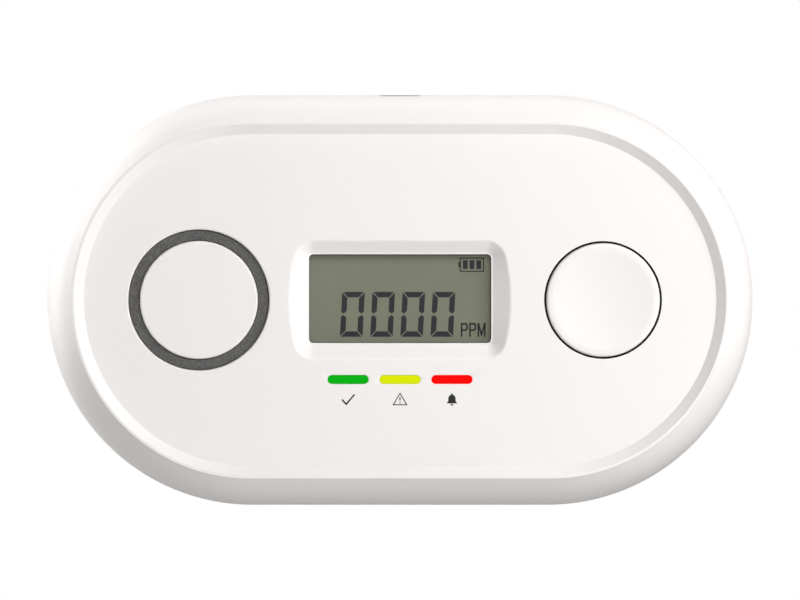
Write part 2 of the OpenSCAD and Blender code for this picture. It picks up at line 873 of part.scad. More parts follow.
module microcontroller()
    color([0.12, 0.12, 0.12])
        stand()
            translate([0, chip_y, board_rear_z]) {
                translate([0, 0, -chip_h - chip_lift]) linear_extrude(chip_h) square(chip_w, center = true);
                // Leads on all four sides
                for (turn = [0:90:270], k = [-lead_last:lead_last])
                    rotate([0, 0, turn])
                        translate([chip_w / 2 - lead_lap, k - lead_w / 2, -lead_h])
                            cube([lead_l, lead_w, lead_h]);
            }

module chip_parts()
    color([0.75, 0.7, 0.6])
        stand() {
            for (k = [-front_row_last:front_row_last])
                translate([k * part_pitch, front_row_y, board_front_z]) chip_part(part_size);
            for (k = [-rear_row_last:rear_row_last])
                translate([k * part_pitch, rear_row_y, board_rear_z - part_size[2]]) chip_part(part_size);
            for (side = [-1, 1])
                translate([side * driver_x, driver_y, board_rear_z - driver_size[2]]) chip_part(driver_size);
        }

module chip_part(size) linear_extrude(size[2]) square([size[0], size[1]], center = true);

module capacitors()
    color([0.25, 0.27, 0.33])
        stand()
            for (side = [-1, 1])
                translate([coil_x, side * capacitor_y, board_rear_z - capacitor_h])
                    cylinder(r = capacitor_r, h = capacitor_h);

module sounder_transformer()
    color([0.3, 0.24, 0.2])
        stand()
            translate([coil_x, 0, board_rear_z - coil_h])
                rotate_extrude() {
                    square([coil_r, coil_flange_t]);
                    square([coil_r - coil_flange_w, coil_h]);
                    translate([0, coil_h - coil_flange_t]) square([coil_r, coil_flange_t]);
                }

module quartz_crystal()
    color("silver")
        stand()
            translate([crystal_x, chip_y, board_rear_z - crystal_size[2]])
                rotate([0, 0, 90])
                    linear_extrude(crystal_size[2]) pill(crystal_size[0], crystal_size[1]);

module sounder_case()
    color([0.1, 0.1, 0.1])
        stand()
            translate([-sounder_x, 0, board_front_z])
                difference() {
                    cylinder(r = case_r, h = case_h);
                    translate([0, 0, -past]) cylinder(r = plate_r, h = plate_h + past);
                    translate([0, 0, -past]) cylinder(r = plate_r - plate_ledge_w, h = case_h - case_wall + past);
                    cylinder(r = case_hole_r, h = case_h + past);
                }

module sounder_plate()
    color("goldenrod")
        stand()
            translate([-sounder_x, 0, plate_z - plate_t])
                cylinder(r = plate_r - seat_gap, h = plate_t);

module sounder_ceramic()
    color("gainsboro")
        stand()
            translate([-sounder_x, 0, plate_z - plate_t - ceramic_t])
                cylinder(r = ceramic_r, h = ceramic_t);

module sounder_gasket()
    color([0.15, 0.15, 0.16])
        stand()
            translate([-sounder_x, 0, 0])
                tube(case_r, case_r - gasket_w, board_front_z + case_h, panel_in_z - board_front_z - case_h);

module sounder_pins()
    color("silver")
        stand()
            sounder_pin_places()
                translate([0, 0, board_rear_z - pin_proud])
                    cylinder(r = pin_r, h = plate_z - plate_t - board_rear_z + pin_proud, $fn = 24);

module sensor_can()
    color("silver")
        stand()
            translate([sensor_x, 0, board_rear_z - sensor_h])
                difference() {
                    union() {
                        cylinder(r = sensor_r, h = sensor_h - eps);
                        translate([0, 0, sensor_h - sensor_rim_h])
                            cylinder(r = sensor_r + sensor_rim_w, h = sensor_rim_h);
                    }
                    translate([0, 0, -past]) cylinder(r = sensor_hole_r, h = sensor_well + past);
                }

module sensor_cap()
    color([0.13, 0.13, 0.14])
        stand()
            translate([sensor_x, 0, board_rear_z - sensor_h - sensor_cap_h])
                difference() {
                    cylinder(r = sensor_cap_r, h = sensor_cap_h);
                    translate([0, 0, -past]) cylinder(r = sensor_hole_r, h = sensor_cap_h + 2 * past);
                    for (k = [0:sensor_vents - 1])
                        rotate([0, 0, 360 * k / sensor_vents])
                            translate([sensor_vent_reach, 0, -past])
                                cylinder(r = sensor_vent_r, h = sensor_cap_h + 2 * past, $fn = 24);
                }

module sensor_pins()
    color("gold")
        stand()
            sensor_pin_places()
                translate([0, 0, board_rear_z])
                    cylinder(r = pin_r, h = board_t + pin_proud, $fn = 24);

module test_switch_body()
    color([0.16, 0.16, 0.17])
        stand()
            translate([button_x, 0, board_front_z])
                difference() {
                    linear_extrude(switch_h) square(switch_size, center = true);
                    translate([0, 0, switch_h - switch_well]) cylinder(r = plunger_r + slide_gap, h = switch_h);
                }

module test_switch_plunger()
    color("black")
        stand()
            translate([button_x, 0, board_front_z + switch_h - plunger_sunk])
                cylinder(r = plunger_r, h = stem_z - board_front_z - switch_h + plunger_sunk);

// ---------------------------------------------------------------- battery

// Middle of a row of cells, counted up from the bottom
function row_y(row) = (row - (cell_count - 1) / 2) * cell_pitch;

// Middle of the contact plate at one end: side is -1 at the left and 1 at the right
function contact_x(side) = side * (tray_l / 2 - contact_t / 2 - contact_seat);

// Row whose end on this side is wired to the circuit board
function wired_row(side) = side < 0 ? cell_count - 1 : 0;

// One cell, with its positive nub against the contact on this side
module cell(row, side)
    stand()
        translate([0, row_y(row), cell_z])
            rotate([0, side * 90, 0])
                translate([0, 0, tray_l / 2 - contact_t - contact_seat - cell_l])
                    rotate_extrude() {
                        shoulder = cell_l - cell_nub_h;
                        polygon([
                            [0, 0], [cell_d / 2 - cell_base_edge, 0], [cell_d / 2, cell_base_edge],
                            [cell_d / 2, shoulder - cell_top_edge], [cell_d / 2 - cell_top_edge, shoulder],
                            [cell_nub_r, shoulder], [cell_nub_r, cell_l], [0, cell_l]
                        ]);
                    }

module battery_top() color("royalblue") cell(2, -1);
module battery_middle() color("royalblue") cell(1, 1);
module battery_bottom() color("royalblue") cell(0, -1);

// Contact plate on an end wall, from one row of cells to another
module contact_plate(side, low_row, high_row)
    translate([contact_x(side), (row_y(low_row) + row_y(high_row)) / 2, cell_z])
        cube([contact_t, row_y(high_row) - row_y(low_row) + contact_w, contact_h], center = true);

// Strip that runs from a contact plate through the tray to the circuit board
module contact_strip(side)
    translate([contact_x(side), row_y(wired_row(side)), cell_z])
        linear_extrude(board_front_z + tab_proud - cell_z) square([contact_t, tab_w], center = true);

// Cut that lets the strip through
module contact_strip_slot(side, h)
    translate([contact_x(side), row_y(wired_row(side)), 0])
        linear_extrude(h) square([contact_t + 2 * tab_gap, tab_w + 2 * tab_gap], center = true);

module contact_positive()
    color("silver")
        stand() {
            contact_plate(-1, 2, 2);
            contact_strip(-1);
        }

module contact_negative()
    color("silver")
        stand() {
            contact_plate(1, 0, 0);
            contact_strip(1);
        }

module contact_link_left() color("silver") stand() contact_plate(-1, 0, 1);
module contact_link_right() color("silver") stand() contact_plate(1, 1, 2);

module contact_springs()
    color("silver")
        stand()
            for (row = [0:cell_count - 1])
                translate([0, row_y(row), cell_z])
                    mirror([row == 1 ? 0 : 1, 0, 0])
                        translate([-tray_l / 2 + contact_t + contact_seat, 0, 0])
                            cone_spring(spring_base_r, spring_tip_r, spring_l, spring_wire_r, spring_turns);

// ---------------------------------------------------------------- fasteners

// Cross-head screw that points along +Z, with its head's underside at z = 0
module screw(shank_r, head_r, head_h, l) {
    difference() {
        union() {
            translate([0, 0, -head_h * (1 - head_dome)]) cylinder(r = head_r, h = head_h * (1 - head_dome));
            translate([0, 0, -head_h]) cylinder(r1 = head_r * head_dome_r, r2 = head_r, h = head_h * head_dome);
        }
        for (turn = [0, 90])
            translate([0, 0, -head_h - past])
                rotate([0, 0, turn])
                    linear_extrude(past + head_h * cross_depth)
                        square([head_r * cross_l, head_r * cross_w], center = true);
    }
    cylinder(r = shank_r, h = l - tip_l);
    translate([0, 0, l - tip_l]) cylinder(r1 = shank_r, r2 = shank_r * tip_r, h = tip_l);
}

module housing_screws()
    color("silver")
        stand()
            four_corners(boss_x, boss_y)
                translate([0, 0, screw_sink]) screw(screw_r, screw_head_r, screw_head_h, screw_l);

module board_screws()
    color("silver")
        stand()
            four_corners(standoff_x, standoff_y)
                translate([0, 0, board_rear_z])
                    screw(board_screw_r, board_screw_head_r, board_screw_head_h, board_t + board_screw_l);

front_cover();
rear_cover();
battery_door();
test_button();
sounder_ring();
top_vent_grille();
display_lens();
display_glass();
display_holder();
display_contact_strips();
light_pipe_green();
light_pipe_yellow();
light_pipe_red();
indicator_leds();
circuit_board();
microcontroller();
chip_parts();
capacitors();
sounder_transformer();
quartz_crystal();
sounder_case();
sounder_plate();
sounder_ceramic();
sounder_gasket();
sounder_pins();
sensor_can();
sensor_cap();
sensor_pins();
test_switch_body();
test_switch_plunger();
battery_top();
battery_middle();
battery_bottom();
contact_positive();
contact_negative();
contact_link_left();
contact_link_right();
contact_springs();
housing_screws();
board_screws();
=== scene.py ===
"""Looks of a wall-hung carbon monoxide detector: shells, readout, lights, button, sounder and studio."""
import math

import bmesh
import bpy
from bpy.props import FloatProperty, FloatVectorProperty, IntProperty, PointerProperty
from bpy.types import Operator, Panel, PropertyGroup
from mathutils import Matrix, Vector
from mathutils.geometry import delaunay_2d_cdt


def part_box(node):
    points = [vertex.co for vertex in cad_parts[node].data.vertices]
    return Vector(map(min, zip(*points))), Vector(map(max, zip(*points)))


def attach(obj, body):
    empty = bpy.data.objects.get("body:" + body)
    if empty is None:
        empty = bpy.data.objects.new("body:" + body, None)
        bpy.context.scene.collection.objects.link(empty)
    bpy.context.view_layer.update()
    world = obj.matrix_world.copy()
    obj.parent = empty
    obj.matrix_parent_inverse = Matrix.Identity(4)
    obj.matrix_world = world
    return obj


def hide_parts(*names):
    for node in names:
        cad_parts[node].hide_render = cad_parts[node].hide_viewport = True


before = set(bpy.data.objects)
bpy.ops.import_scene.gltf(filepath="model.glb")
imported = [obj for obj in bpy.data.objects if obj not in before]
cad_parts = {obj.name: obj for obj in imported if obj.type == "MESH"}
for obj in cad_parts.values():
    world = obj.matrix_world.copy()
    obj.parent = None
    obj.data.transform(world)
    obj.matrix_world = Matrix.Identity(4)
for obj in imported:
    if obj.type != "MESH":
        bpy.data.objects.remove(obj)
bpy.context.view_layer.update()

bl_info = {
    "name": "Carbon Monoxide Detector",
    "version": (1, 0, 0),
    "blender": (4, 5, 0),
    "location": "3D View > Sidebar > Detector",
    "description": "Builds the visible pieces, finishes and studio of a wall-hung carbon monoxide detector",
    "category": "Add Mesh",
}

MM = 0.001
END_STEPS = 64      # segments of one half-round end of the housing
ROUND_STEPS = 128   # segments of a full circle on the front
CORNER_STEPS = 8    # segments of a small rounded corner
SIDE_STEPS = 9      # segments of the left or right side of the readout's window

# Laps and gaps between pieces, as in the CAD model
PLAY = 0.05 * MM            # gap round the vent grille and the sounder ring
GRILLE_SIDE = 1.1 * MM      # lap of the vent grille behind the wall, at its sides
GRILLE_EDGE = 0.9 * MM      # and at its front and rear edge
LENS_LAP = 2 * MM           # lap of the lens behind the window's edge
PIPE_LAP = 0.7 * MM         # lap of a light window's flange behind the panel
CAP_SETBACK = 1.23 * MM     # distance from the edge of the button's flange in to its cap
HOLE_SETBACK = 0.87 * MM    # and in to the edge of its hole
SHADOW_RING_SETBACKS = 1.2 * MM, 0.86 * MM     # and in to the inner and outer edge of the dark ring that paints the gap's shadow
LIGHT_PIPES = "light_pipe_green", "light_pipe_yellow", "light_pipe_red"

# Softboxes: place and size in metres, seen from the detector's middle. NAME_power holds the watts.
SOFTBOXES = {
    "upper": ((0.2, -0.9, 0.5), 0.4),
    "right": ((0.5, -0.9, 0.1), 0.4),
    "near": ((0.3, -0.22, 0.15), 0.15),
    "left_edge": ((-0.6, 0.25, 0.1), 0.5),
    "right_edge": ((0.6, 0.25, 0.1), 0.5),
    "corner": ((-0.45, 0.2, 0.35), 0.3),
    "top_edge": ((0.0, 0.25, 0.6), 0.5),
    "bounce": ((0.0, -0.1, -0.4), 0.9),
    "low": ((0.1, -0.3, -0.4), 0.4),
}


# ---------------------------------------------------------------- sizes and colours

def linear(hex_colour):
    """Linear RGB of an sRGB hex colour such as "#F4F0EE"."""
    channels = [int(hex_colour[i:i + 2], 16) / 255 for i in (1, 3, 5)]
    return [c / 12.92 if c <= 0.04045 else ((c + 0.055) / 1.055) ** 2.4 for c in channels]


def length(name, millimetres, description):
    return FloatProperty(name=name, description=description, default=millimetres * MM,
                         subtype="DISTANCE", unit="LENGTH", precision=5)


def colour(name, hex_colour, description):
    return FloatVectorProperty(name=name, description=description, default=linear(hex_colour),
                               subtype="COLOR", size=3, min=0, max=1)


def amount(name, value, description, unit="NONE"):
    return FloatProperty(name=name, description=description, default=value, min=0, unit=unit)


class HousingSettings(PropertyGroup):
    plastic: colour("Plastic", "#F6F2F0", "Colour of the moulded housing")
    rim_inset: length("Rim inset", 4.35, "Width of the rounded side in front view")
    rim_setback: length("Rim setback", 0.3, "Distance from the rounded side in to the rim's inner edge")
    rim_land: length("Rim land", 0.42, "Width of the flat on top of the rim")
    rim_slope: length("Rim slope", 1.7, "Width of the slope from the rim to the front panel")
    panel_recess: length("Panel recess", 1.2, "Depth of the front panel below the rim")
    panel_thickness: length("Panel thickness", 2.0, "Thickness of the front panel")
    wall: length("Wall", 2.2, "Thickness of the side wall")
    reveal: length("Reveal", 0.35, "Size of the chamfer at the parting line")
    edge_radius: length("Edge radius", 0.3, "Rounding of the edges of the sounder groove")
    window_lift: length("Window lift", 0.22, "Height of the readout window's middle above the frame's")
    window_trim: length("Window trim", 0.3, "How much less high the window is than the one behind it")
    rim_stretch: length("Rim stretch", 0.4, "How much longer and lower the rim is than an even inset")
    scoop_depth: length("Scoop depth", 0.4, "Depth of the scoop in front of the top vent")
    scoop_radius: length("Scoop radius", 21.0, "Radius of the scoop in front of the top vent")


class ReadoutSettings(PropertyGroup):
    reflector: colour("Reflector", "#A0A28D", "Colour of the unlit liquid-crystal field")
    # Painted glow on the liquid-crystal field, which evens out the shade from the window's recess
    painted_glow: amount("Painted glow", 0.225, "Light that the field gives off")
    digits: IntProperty(name="Digits", description="Number of numerals", default=4, min=1, max=5)
    digit_height: length("Numeral height", 7.65, "Height of a numeral")
    digit_width: length("Numeral width", 3.85, "Width of a numeral")
    digit_pitch: length("Numeral pitch", 5.15, "Distance between numerals")
    segment_width: length("Segment width", 0.92, "Width of a segment")
    slant: FloatProperty(name="Slant", description="Lean of the numerals", default=math.radians(3),
                         subtype="ANGLE", unit="ROTATION")


class LightSettings(PropertyGroup):
    green: colour("Green light", "#00AA0E", "Colour of the left light window")
    yellow: colour("Yellow light", "#D2DE00", "Colour of the middle light window")
    red: colour("Red light", "#FF0000", "Colour of the right light window")
    glow: amount("Glow", 0.35, "Light that each window gives off")


class StudioSettings(PropertyGroup):
    floor: colour("Floor", "#D0CFCD", "Colour of the studio floor")
    floor_glow: amount("Floor glow", 0.6, "Brightness that only the camera sees on the floor")
    floor_drop: length("Floor drop", 2400, "Distance from the detector's middle down to the floor")
    lens: amount("Lens", 800, "Focal length of the camera in millimetres", "CAMERA")
    view_width: length("View width", 136.74, "Width of what the camera sees at the detector")
    fill: amount("Fill", 0.1, "Strength of the light from all round")
    surround: amount("Surround", 0.7, "Brightness that the camera sees away from the backdrop")
    backdrop: amount("Backdrop", 0.35, "Strength of the light from behind")
    upper_power: amount("Upper power", 4.45, "Watts of the upper front light", "POWER")
    right_power: amount("Right power", 1.64, "Watts of the right front light", "POWER")
    near_power: amount("Near power", 0.72, "Watts of the small near light", "POWER")
    left_edge_power: amount("Left edge power", 3.14, "Watts of the light behind the left edge", "POWER")
    right_edge_power: amount("Right edge power", 0.69, "Watts of the light behind the right edge", "POWER")
    corner_power: amount("Corner power", 1.71, "Watts of the light behind the upper left edge", "POWER")
    top_edge_power: amount("Top edge power", 0.75, "Watts of the light behind the top edge", "POWER")
    bounce_power: amount("Bounce power", 0.88, "Watts of the light from below", "POWER")
    low_power: amount("Low power", 0.52, "Watts of the light from below the front", "POWER")


# ---------------------------------------------------------------- points and outlines

def place(x, up, out):
    """Point in the row frame from its distance to the right, up, and out from the wall."""
    return Vector((x, -out, up))


def reach(node):
    """Lowest and highest (x, up, out) of a CAD node."""
    low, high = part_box(node)
    return (low.x, low.z, -high.y), (high.x, high.z, -low.y)


def middle(node):
    """Middle of a CAD node as (x, up)."""
    low, high = reach(node)
    return (low[0] + high[0]) / 2, (low[1] + high[1]) / 2


def half_width(node):
    """Half the width of a CAD node, which is the radius of a round one."""
    low, high = reach(node)
    return (high[0] - low[0]) / 2


def arc(centre, radius, start, end, steps):
    """Points on an arc, in degrees, both ends included."""
    angles = [math.radians(start + (end - start) * i / steps) for i in range(steps + 1)]
    return [(centre[0] + radius * math.cos(a), centre[1] + radius * math.sin(a)) for a in angles]


def circle(centre, radius, steps=ROUND_STEPS):
    return arc(centre, radius, 0, 360, steps)[:-1]


def pill(centre, width, height, steps=24):
    """Outline of a slot with round ends."""
    radius = height / 2
    half = width / 2 - radius
    right = arc((centre[0] + half, centre[1]), radius, -90, 90, steps)
    left = arc((centre[0] - half, centre[1]), radius, 90, 270, steps)
    return right + left


def rounded_rect(width, height, radius):
    """Outline with round corners, and evenly spread points along its left and right sides."""
    half_w, half_h = width / 2 - radius, height / 2 - radius
    corners = (half_w, half_h), (-half_w, half_h), (-half_w, -half_h), (half_w, -half_h)
    outline = []
    for quarter, centre in enumerate(corners):
        outline += arc(centre, radius, 90 * quarter, 90 * quarter + 90, CORNER_STEPS)
        if quarter in (1, 3):
            outline += side_points(outline[-1], -centre[1])
    return outline


def side_points(start, end_y, bulge=0.0):
    """Points between a corner and the next along a side that bulges outward by bulge in its middle."""
    points = []
    for i in range(1, SIDE_STEPS):
        y = start[1] + (end_y - start[1]) * i / SIDE_STEPS
        swell = bulge * (1 - (y / start[1]) ** 2)
        points.append((start[0] + math.copysign(swell, start[0]), y))
    return points


def window_size():
    """Width and height of the window behind the readout's frame, which the lens laps all round."""
    low, high = reach("display_lens")
    return high[0] - low[0] - 2 * LENS_LAP, high[1] - low[1] - 2 * LENS_LAP


def window_outline(settings, growth):
    """Outline of the readout's window, wider and higher by growth."""
    width, height = window_size()
    corner = 0.7 * MM + growth / 2
    outline = rounded_rect(width + growth, height + growth - settings.window_trim, corner)
    return [(x, y + settings.window_lift) for x, y in outline]


def barrel(width, height, radius, lean):
    """Outline like rounded_rect whose left and right sides bulge: lean is their angle at the corners."""
    cy = height / 2 - radius
    corner_y = cy + radius * math.sin(math.radians(lean))
    bulge = math.tan(math.radians(lean)) * corner_y / 2
    cx = width / 2 - bulge - radius * math.cos(math.radians(lean))
    outline = arc((cx, cy), radius, lean, 90, CORNER_STEPS)
    outline += arc((-cx, cy), radius, 90, 180 - lean, CORNER_STEPS)
    outline += side_points(outline[-1], -corner_y, bulge)
    outline += arc((-cx, -cy), radius, 180 + lean, 270, CORNER_STEPS)
    outline += arc((cx, -cy), radius, 270, 360 - lean, CORNER_STEPS)
    return outline + side_points(outline[-1], corner_y, bulge)


def rounded(points, radii, steps=5):
    """Open outline with its inner corners rounded: one radius for each point, 0 for sharp."""
    outline = [points[0]]
    for before, corner, after, radius in zip(points, points[1:], points[2:], radii[1:]):
        if radius <= 0:
            outline.append(corner)
            continue
        a, c, b = Vector(before), Vector(corner), Vector(after)
        to_a, to_b = (a - c).normalized(), (b - c).normalized()
        half = to_a.angle(to_b) / 2
        run = min(radius / math.tan(half), (a - c).length * 0.49, (b - c).length * 0.49)
        start, end = c + to_a * run, c + to_b * run
        for i in range(steps + 1):
            t = i / steps
            outline.append(tuple(start * (1 - t) ** 2 + c * 2 * t * (1 - t) + end * t ** 2))
    return outline + [points[-1]]


# ---------------------------------------------------------------- meshes

def add_loop(bm, outline, out):
    """Vertices of a closed outline at one distance from the wall."""
    return [bm.verts.new(place(x, up, out)) for x, up in outline]


def skin(bm, first, second):
    """Joins two closed loops of the same length with faces."""
    for i in range(len(first)):
        j = (i + 1) % len(first)
        bm.faces.new((first[i], first[j], second[j], second[i]))


def cap(bm, loops):
    """Fills the flat region inside the first loop and outside the others."""
    verts = [vert for loop in loops for vert in loop]
    flat = [Vector((vert.co.x, vert.co.z)) for vert in verts]
    regions = []
    start = 0
    for loop in loops:
        ring = list(range(start, start + len(loop)))
        start += len(loop)
        area = sum(flat[a].cross(flat[b]) for a, b in zip(ring, ring[1:] + ring[:1]))
        regions.append(ring if area > 0 else ring[::-1])
    result = delaunay_2d_cdt(flat, [], regions, 1, 1e-9)
    sources = [verts[origin[0]] for origin in result[3]]
    for face, inside in zip(result[2], result[5]):
        if inside == [0]:
            bm.faces.new([sources[i] for i in face])


def loft(bm, outlines):
    """Joins outlines of the same length, given as (outline, out), and returns their loops."""
    loops = [add_loop(bm, outline, out) for outline, out in outlines]
    for a, b in zip(loops, loops[1:]):
        skin(bm, a, b)
    return loops


def rounded_edge(outline, out, radius, steps=4):
    """Outlines that turn from a flat face into an opening: outline(e) is the opening's, grown by e."""
    turns = [math.pi / 2 * i / steps for i in range(steps + 1)]
    return [(outline(radius * (1 - math.sin(a))), out - abs(radius) * (1 - math.cos(a))) for a in turns]


def eased(first, corner, last, steps=4):
    """Outlines on a curve that leaves one (outline, out) for a second and arrives at a third."""
    rows = []
    for i in range(steps + 1):
        t = i / steps
        shares = (1 - t) ** 2, 2 * t * (1 - t), t * t
        outline = [tuple(sum(share * point[k] for share, point in zip(shares, points)) for k in (0, 1))
                   for points in zip(first[0], corner[0], last[0])]
        rows.append((outline, sum(share * row[1] for share, row in zip(shares, (first, corner, last)))))
    return rows


def between(first, last, share):
    """Outline at a share of the way between two (outline, out)."""
    outline = [tuple(a + (b - a) * share for a, b in zip(p, q)) for p, q in zip(first[0], last[0])]
    return outline, first[1] + (last[1] - first[1]) * share


def finish_mesh(bm, name, material, body, replaced=(), sharp=35):
    """Turns the mesh into a piece that rides on a body and has smooth, weighted shading."""
    bmesh.ops.recalc_face_normals(bm, faces=bm.faces)
    for face in bm.faces:
        face.smooth = True
    mesh = bpy.data.meshes.new(name)
    bm.to_mesh(mesh)
    bm.free()
    mesh.set_sharp_from_angle(angle=math.radians(sharp))
    piece = bpy.data.objects.new(name, mesh)
    bpy.context.scene.collection.objects.link(piece)
    piece.data.materials.append(material)
    weighted = piece.modifiers.new("flat panels", "WEIGHTED_NORMAL")
    weighted.keep_sharp = True
    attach(piece, body)
    if replaced:
        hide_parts(*replaced)
    return piece


def lathe(bm, profile, centre, steps=ROUND_STEPS):
    """Turns a profile of (radius, out) points about an axis that points out of the wall."""
    rings = []
    for radius, out in profile:
        if radius < 1e-7:
            rings.append([bm.verts.new(place(centre[0], centre[1], out))])
        else:
            rings.append(add_loop(bm, circle(centre, radius, steps), out))
    for a, b in zip(rings, rings[1:]):
        if len(a) == 1 or len(b) == 1:
            tip, ring = (a[0], b) if len(a) == 1 else (b[0], a)
            for i in range(len(ring)):
                bm.faces.new((tip, ring[i], ring[(i + 1) % len(ring)]))
        else:
            skin(bm, a, b)
    return rings


def flat_sheet(bm, outline, out, thickness):
    """Thin plate of any outline, such as a segment or a printed shape."""
    front = add_loop(bm, outline, out + thickness)
    back = add_loop(bm, outline, out)
    skin(bm, front, back)
    cap(bm, [front])
    cap(bm, [back])


def stroke(points, width, closed=False):
    """Outlines of the pieces of a line of some width: one four-cornered outline for each stretch."""
    pairs = list(zip(points, points[1:] + points[:1])) if closed else list(zip(points, points[1:]))
    outlines = []
    for start, end in pairs:
        a, b = Vector(start), Vector(end)
        along = (b - a).normalized() * width / 2
        across = Vector((-along.y, along.x))
        a, b = a - along, b + along
        outlines.append([tuple(a - across), tuple(b - across), tuple(b + across), tuple(a + across)])
    return outlines


# ---------------------------------------------------------------- materials

def add_node(tree, kind, inputs=(), **settings):
    """Adds one node: kind is its type after ShaderNode, settings are its properties, and inputs are values,
    sockets or nodes by name or number. A node stands for its first output in use."""
    node = tree.nodes.new("ShaderNode" + kind)
    for key, value in settings.items():
        setattr(node, key, value)
    for key, value in dict(inputs).items():
        if isinstance(value, bpy.types.Node):
            value = next(output for output in value.outputs if output.enabled)
        if isinstance(value, bpy.types.NodeSocket):
            tree.links.new(value, node.inputs[key])
        else:
            node.inputs[key].default_value = value
    return node


def new_material(name):
    """Empty node material: returns the material, its tree and a texture position in metres."""
    material = bpy.data.materials.new(name)
    material.use_nodes = True
    tree = material.node_tree
    tree.nodes.clear()
    position = add_node(tree, "TexCoord").outputs["Object"]
    return material, tree, position


def mottled(tree, position, size, first, second):
    """Colour that runs between two in soft spots about size across, in metres."""
    spots = add_node(tree, "TexNoise",
                     {"Vector": position, "Scale": 1 / size, "Detail": 3.0, "Roughness": 0.6})
    share = add_node(tree, "MapRange", {"Value": spots, "From Min": 0.3, "From Max": 0.7})
    return add_node(tree, "Mix", {"Factor": share, "A": (*first, 1), "B": (*second, 1)}, data_type="RGBA")


def speckled(tree, position, size, roughness, swing, detail=3.0):
    """Roughness that goes up and down by swing in spots about size across, and the spots as a height."""
    spots = add_node(tree, "TexNoise",
                     {"Vector": position, "Scale": 1 / size, "Detail": detail, "Roughness": 0.6})
    rough = add_node(tree, "MapRange",
                     {"Value": spots, "From Min": 0.3, "From Max": 0.7, "To Min": roughness - swing,
                      "To Max": roughness + swing})
    return rough, spots


def surface(tree, tint, roughness, relief=None, depth=0.0, softening=0.0, **constants):
    """Principled surface with a relief of some depth, on edges that look rounded by softening: constants go
    straight on the shader's own sockets."""
    inputs = {"Base Color": tint, "Roughness": roughness}
    if relief is not None:
        heights = {"Height": relief, "Distance": depth, "Strength": 1.0}
        if softening > 0:
            heights["Normal"] = add_node(tree, "Bevel", {"Radius": softening}, samples=4)
        inputs["Normal"] = add_node(tree, "Bump", heights)
    inputs.update({key.replace("_", " "): value for key, value in constants.items()})
    add_node(tree, "OutputMaterial", {"Surface": add_node(tree, "BsdfPrincipled", inputs)})


def dimmed(rgb, share):
    return [c * share for c in rgb]


def moulded_abs(name, rgb, texture=0.22 * MM, depth=0.006 * MM, roughness=0.46, softening=0.0):
    """ABS from a spark-eroded mould: a satin white with a grain that only shows in its highlights."""
    # The real grain is under 0.1 mm. It is drawn coarser, so that it shows.
    material, tree, position = new_material(name)
    tint = mottled(tree, position, 18 * MM, rgb, dimmed(rgb, 0.985))
    rough, spots = speckled(tree, position, texture, roughness, 0.04, 4.0)
    surface(tree, tint, rough, spots, depth, softening, IOR=1.53)
    return material


def simple_finish(name, first, second, spot, roughness, depth, softening=0.0, **constants):
    """Finish with two tones in spots of one size, and a relief from the same spots, in millimetres."""
    material, tree, position = new_material(name)
    tint = mottled(tree, position, spot * MM, linear(first), linear(second))
    rough, spots = speckled(tree, position, spot * MM, roughness, 0.03)
    surface(tree, tint, rough, spots, depth * MM, softening * MM, **constants)
    return material


def banded_finish(name, first, second, band, direction, roughness, depth, **constants):
    """Finish with fine parallel bands, such as a winding or layered rubber, in millimetres."""
    material, tree, position = new_material(name)
    waves = add_node(tree, "TexWave",
                     {"Vector": position, "Scale": math.pi / (10 * band * MM), "Distortion": 0.4,
                      "Detail": 2.0, "Detail Scale": 2.0}, bands_direction=direction).outputs["Fac"]
    tint = add_node(tree, "Mix", {"Factor": waves, "A": (*linear(first), 1), "B": (*linear(second), 1)},
                    data_type="RGBA")
    surface(tree, tint, roughness, waves, depth * MM, **constants)
    return material


def acoustic_mesh():
    """Dark grey woven mesh over the sounder: matt threads with darker pores between them."""
    # The real threads are about 0.15 mm apart. They are drawn at 0.34 mm, so that they show.
    material, tree, position = new_material("acoustic mesh, woven polyester")
    pores = add_node(tree, "TexVoronoi", {"Vector": position, "Scale": 1 / (0.34 * MM)}).outputs["Distance"]
    threads = mottled(tree, position, 1.2 * MM, linear("#5E5D5B"), linear("#6A6967"))
    share = add_node(tree, "MapRange",
                     {"Value": pores, "From Min": 0.3, "From Max": 0.7, "To Min": 0.55, "To Max": 0.0})
    tint = add_node(tree, "Mix", {"Factor": share, "A": threads, "B": (*linear("#3E3E3E"), 1)},
                    data_type="RGBA")
    surface(tree, tint, 0.85, pores, 0.05 * MM, IOR=1.5)
    return material


def lamp_or_painted_glow(name, rgb, glow, tones, cloud, fine, depth, roughness, **constants):
    """Piece that glows: two dimmed tones in faint clouds, a very fine relief and a glow, from a lamp on the
    light windows and painted on the liquid-crystal field.
    """
    material, tree, position = new_material(name)
    tint = mottled(tree, position, cloud, dimmed(rgb, tones[0]), dimmed(rgb, tones[1]))
    relief = add_node(tree, "TexNoise",
                      {"Vector": position, "Scale": 1 / fine, "Detail": 3.0, "Roughness": 0.6})
    surface(tree, tint, roughness, relief, depth, Emission_Color=(*rgb, 1), Emission_Strength=glow,
            **constants)
    return material


def liquid_crystal_field(rgb, glow):
    """Transflective film behind liquid-crystal glass: a flat, cloudy grey-green, dimmed, with a painted glow
    that evens out the shade the window's recess casts on it.
    """
    return lamp_or_painted_glow("liquid-crystal reflector, satin film", rgb, glow, (0.42, 0.38), 7 * MM, 0.12 * MM,
                           0.002 * MM, 0.38, IOR=1.5)


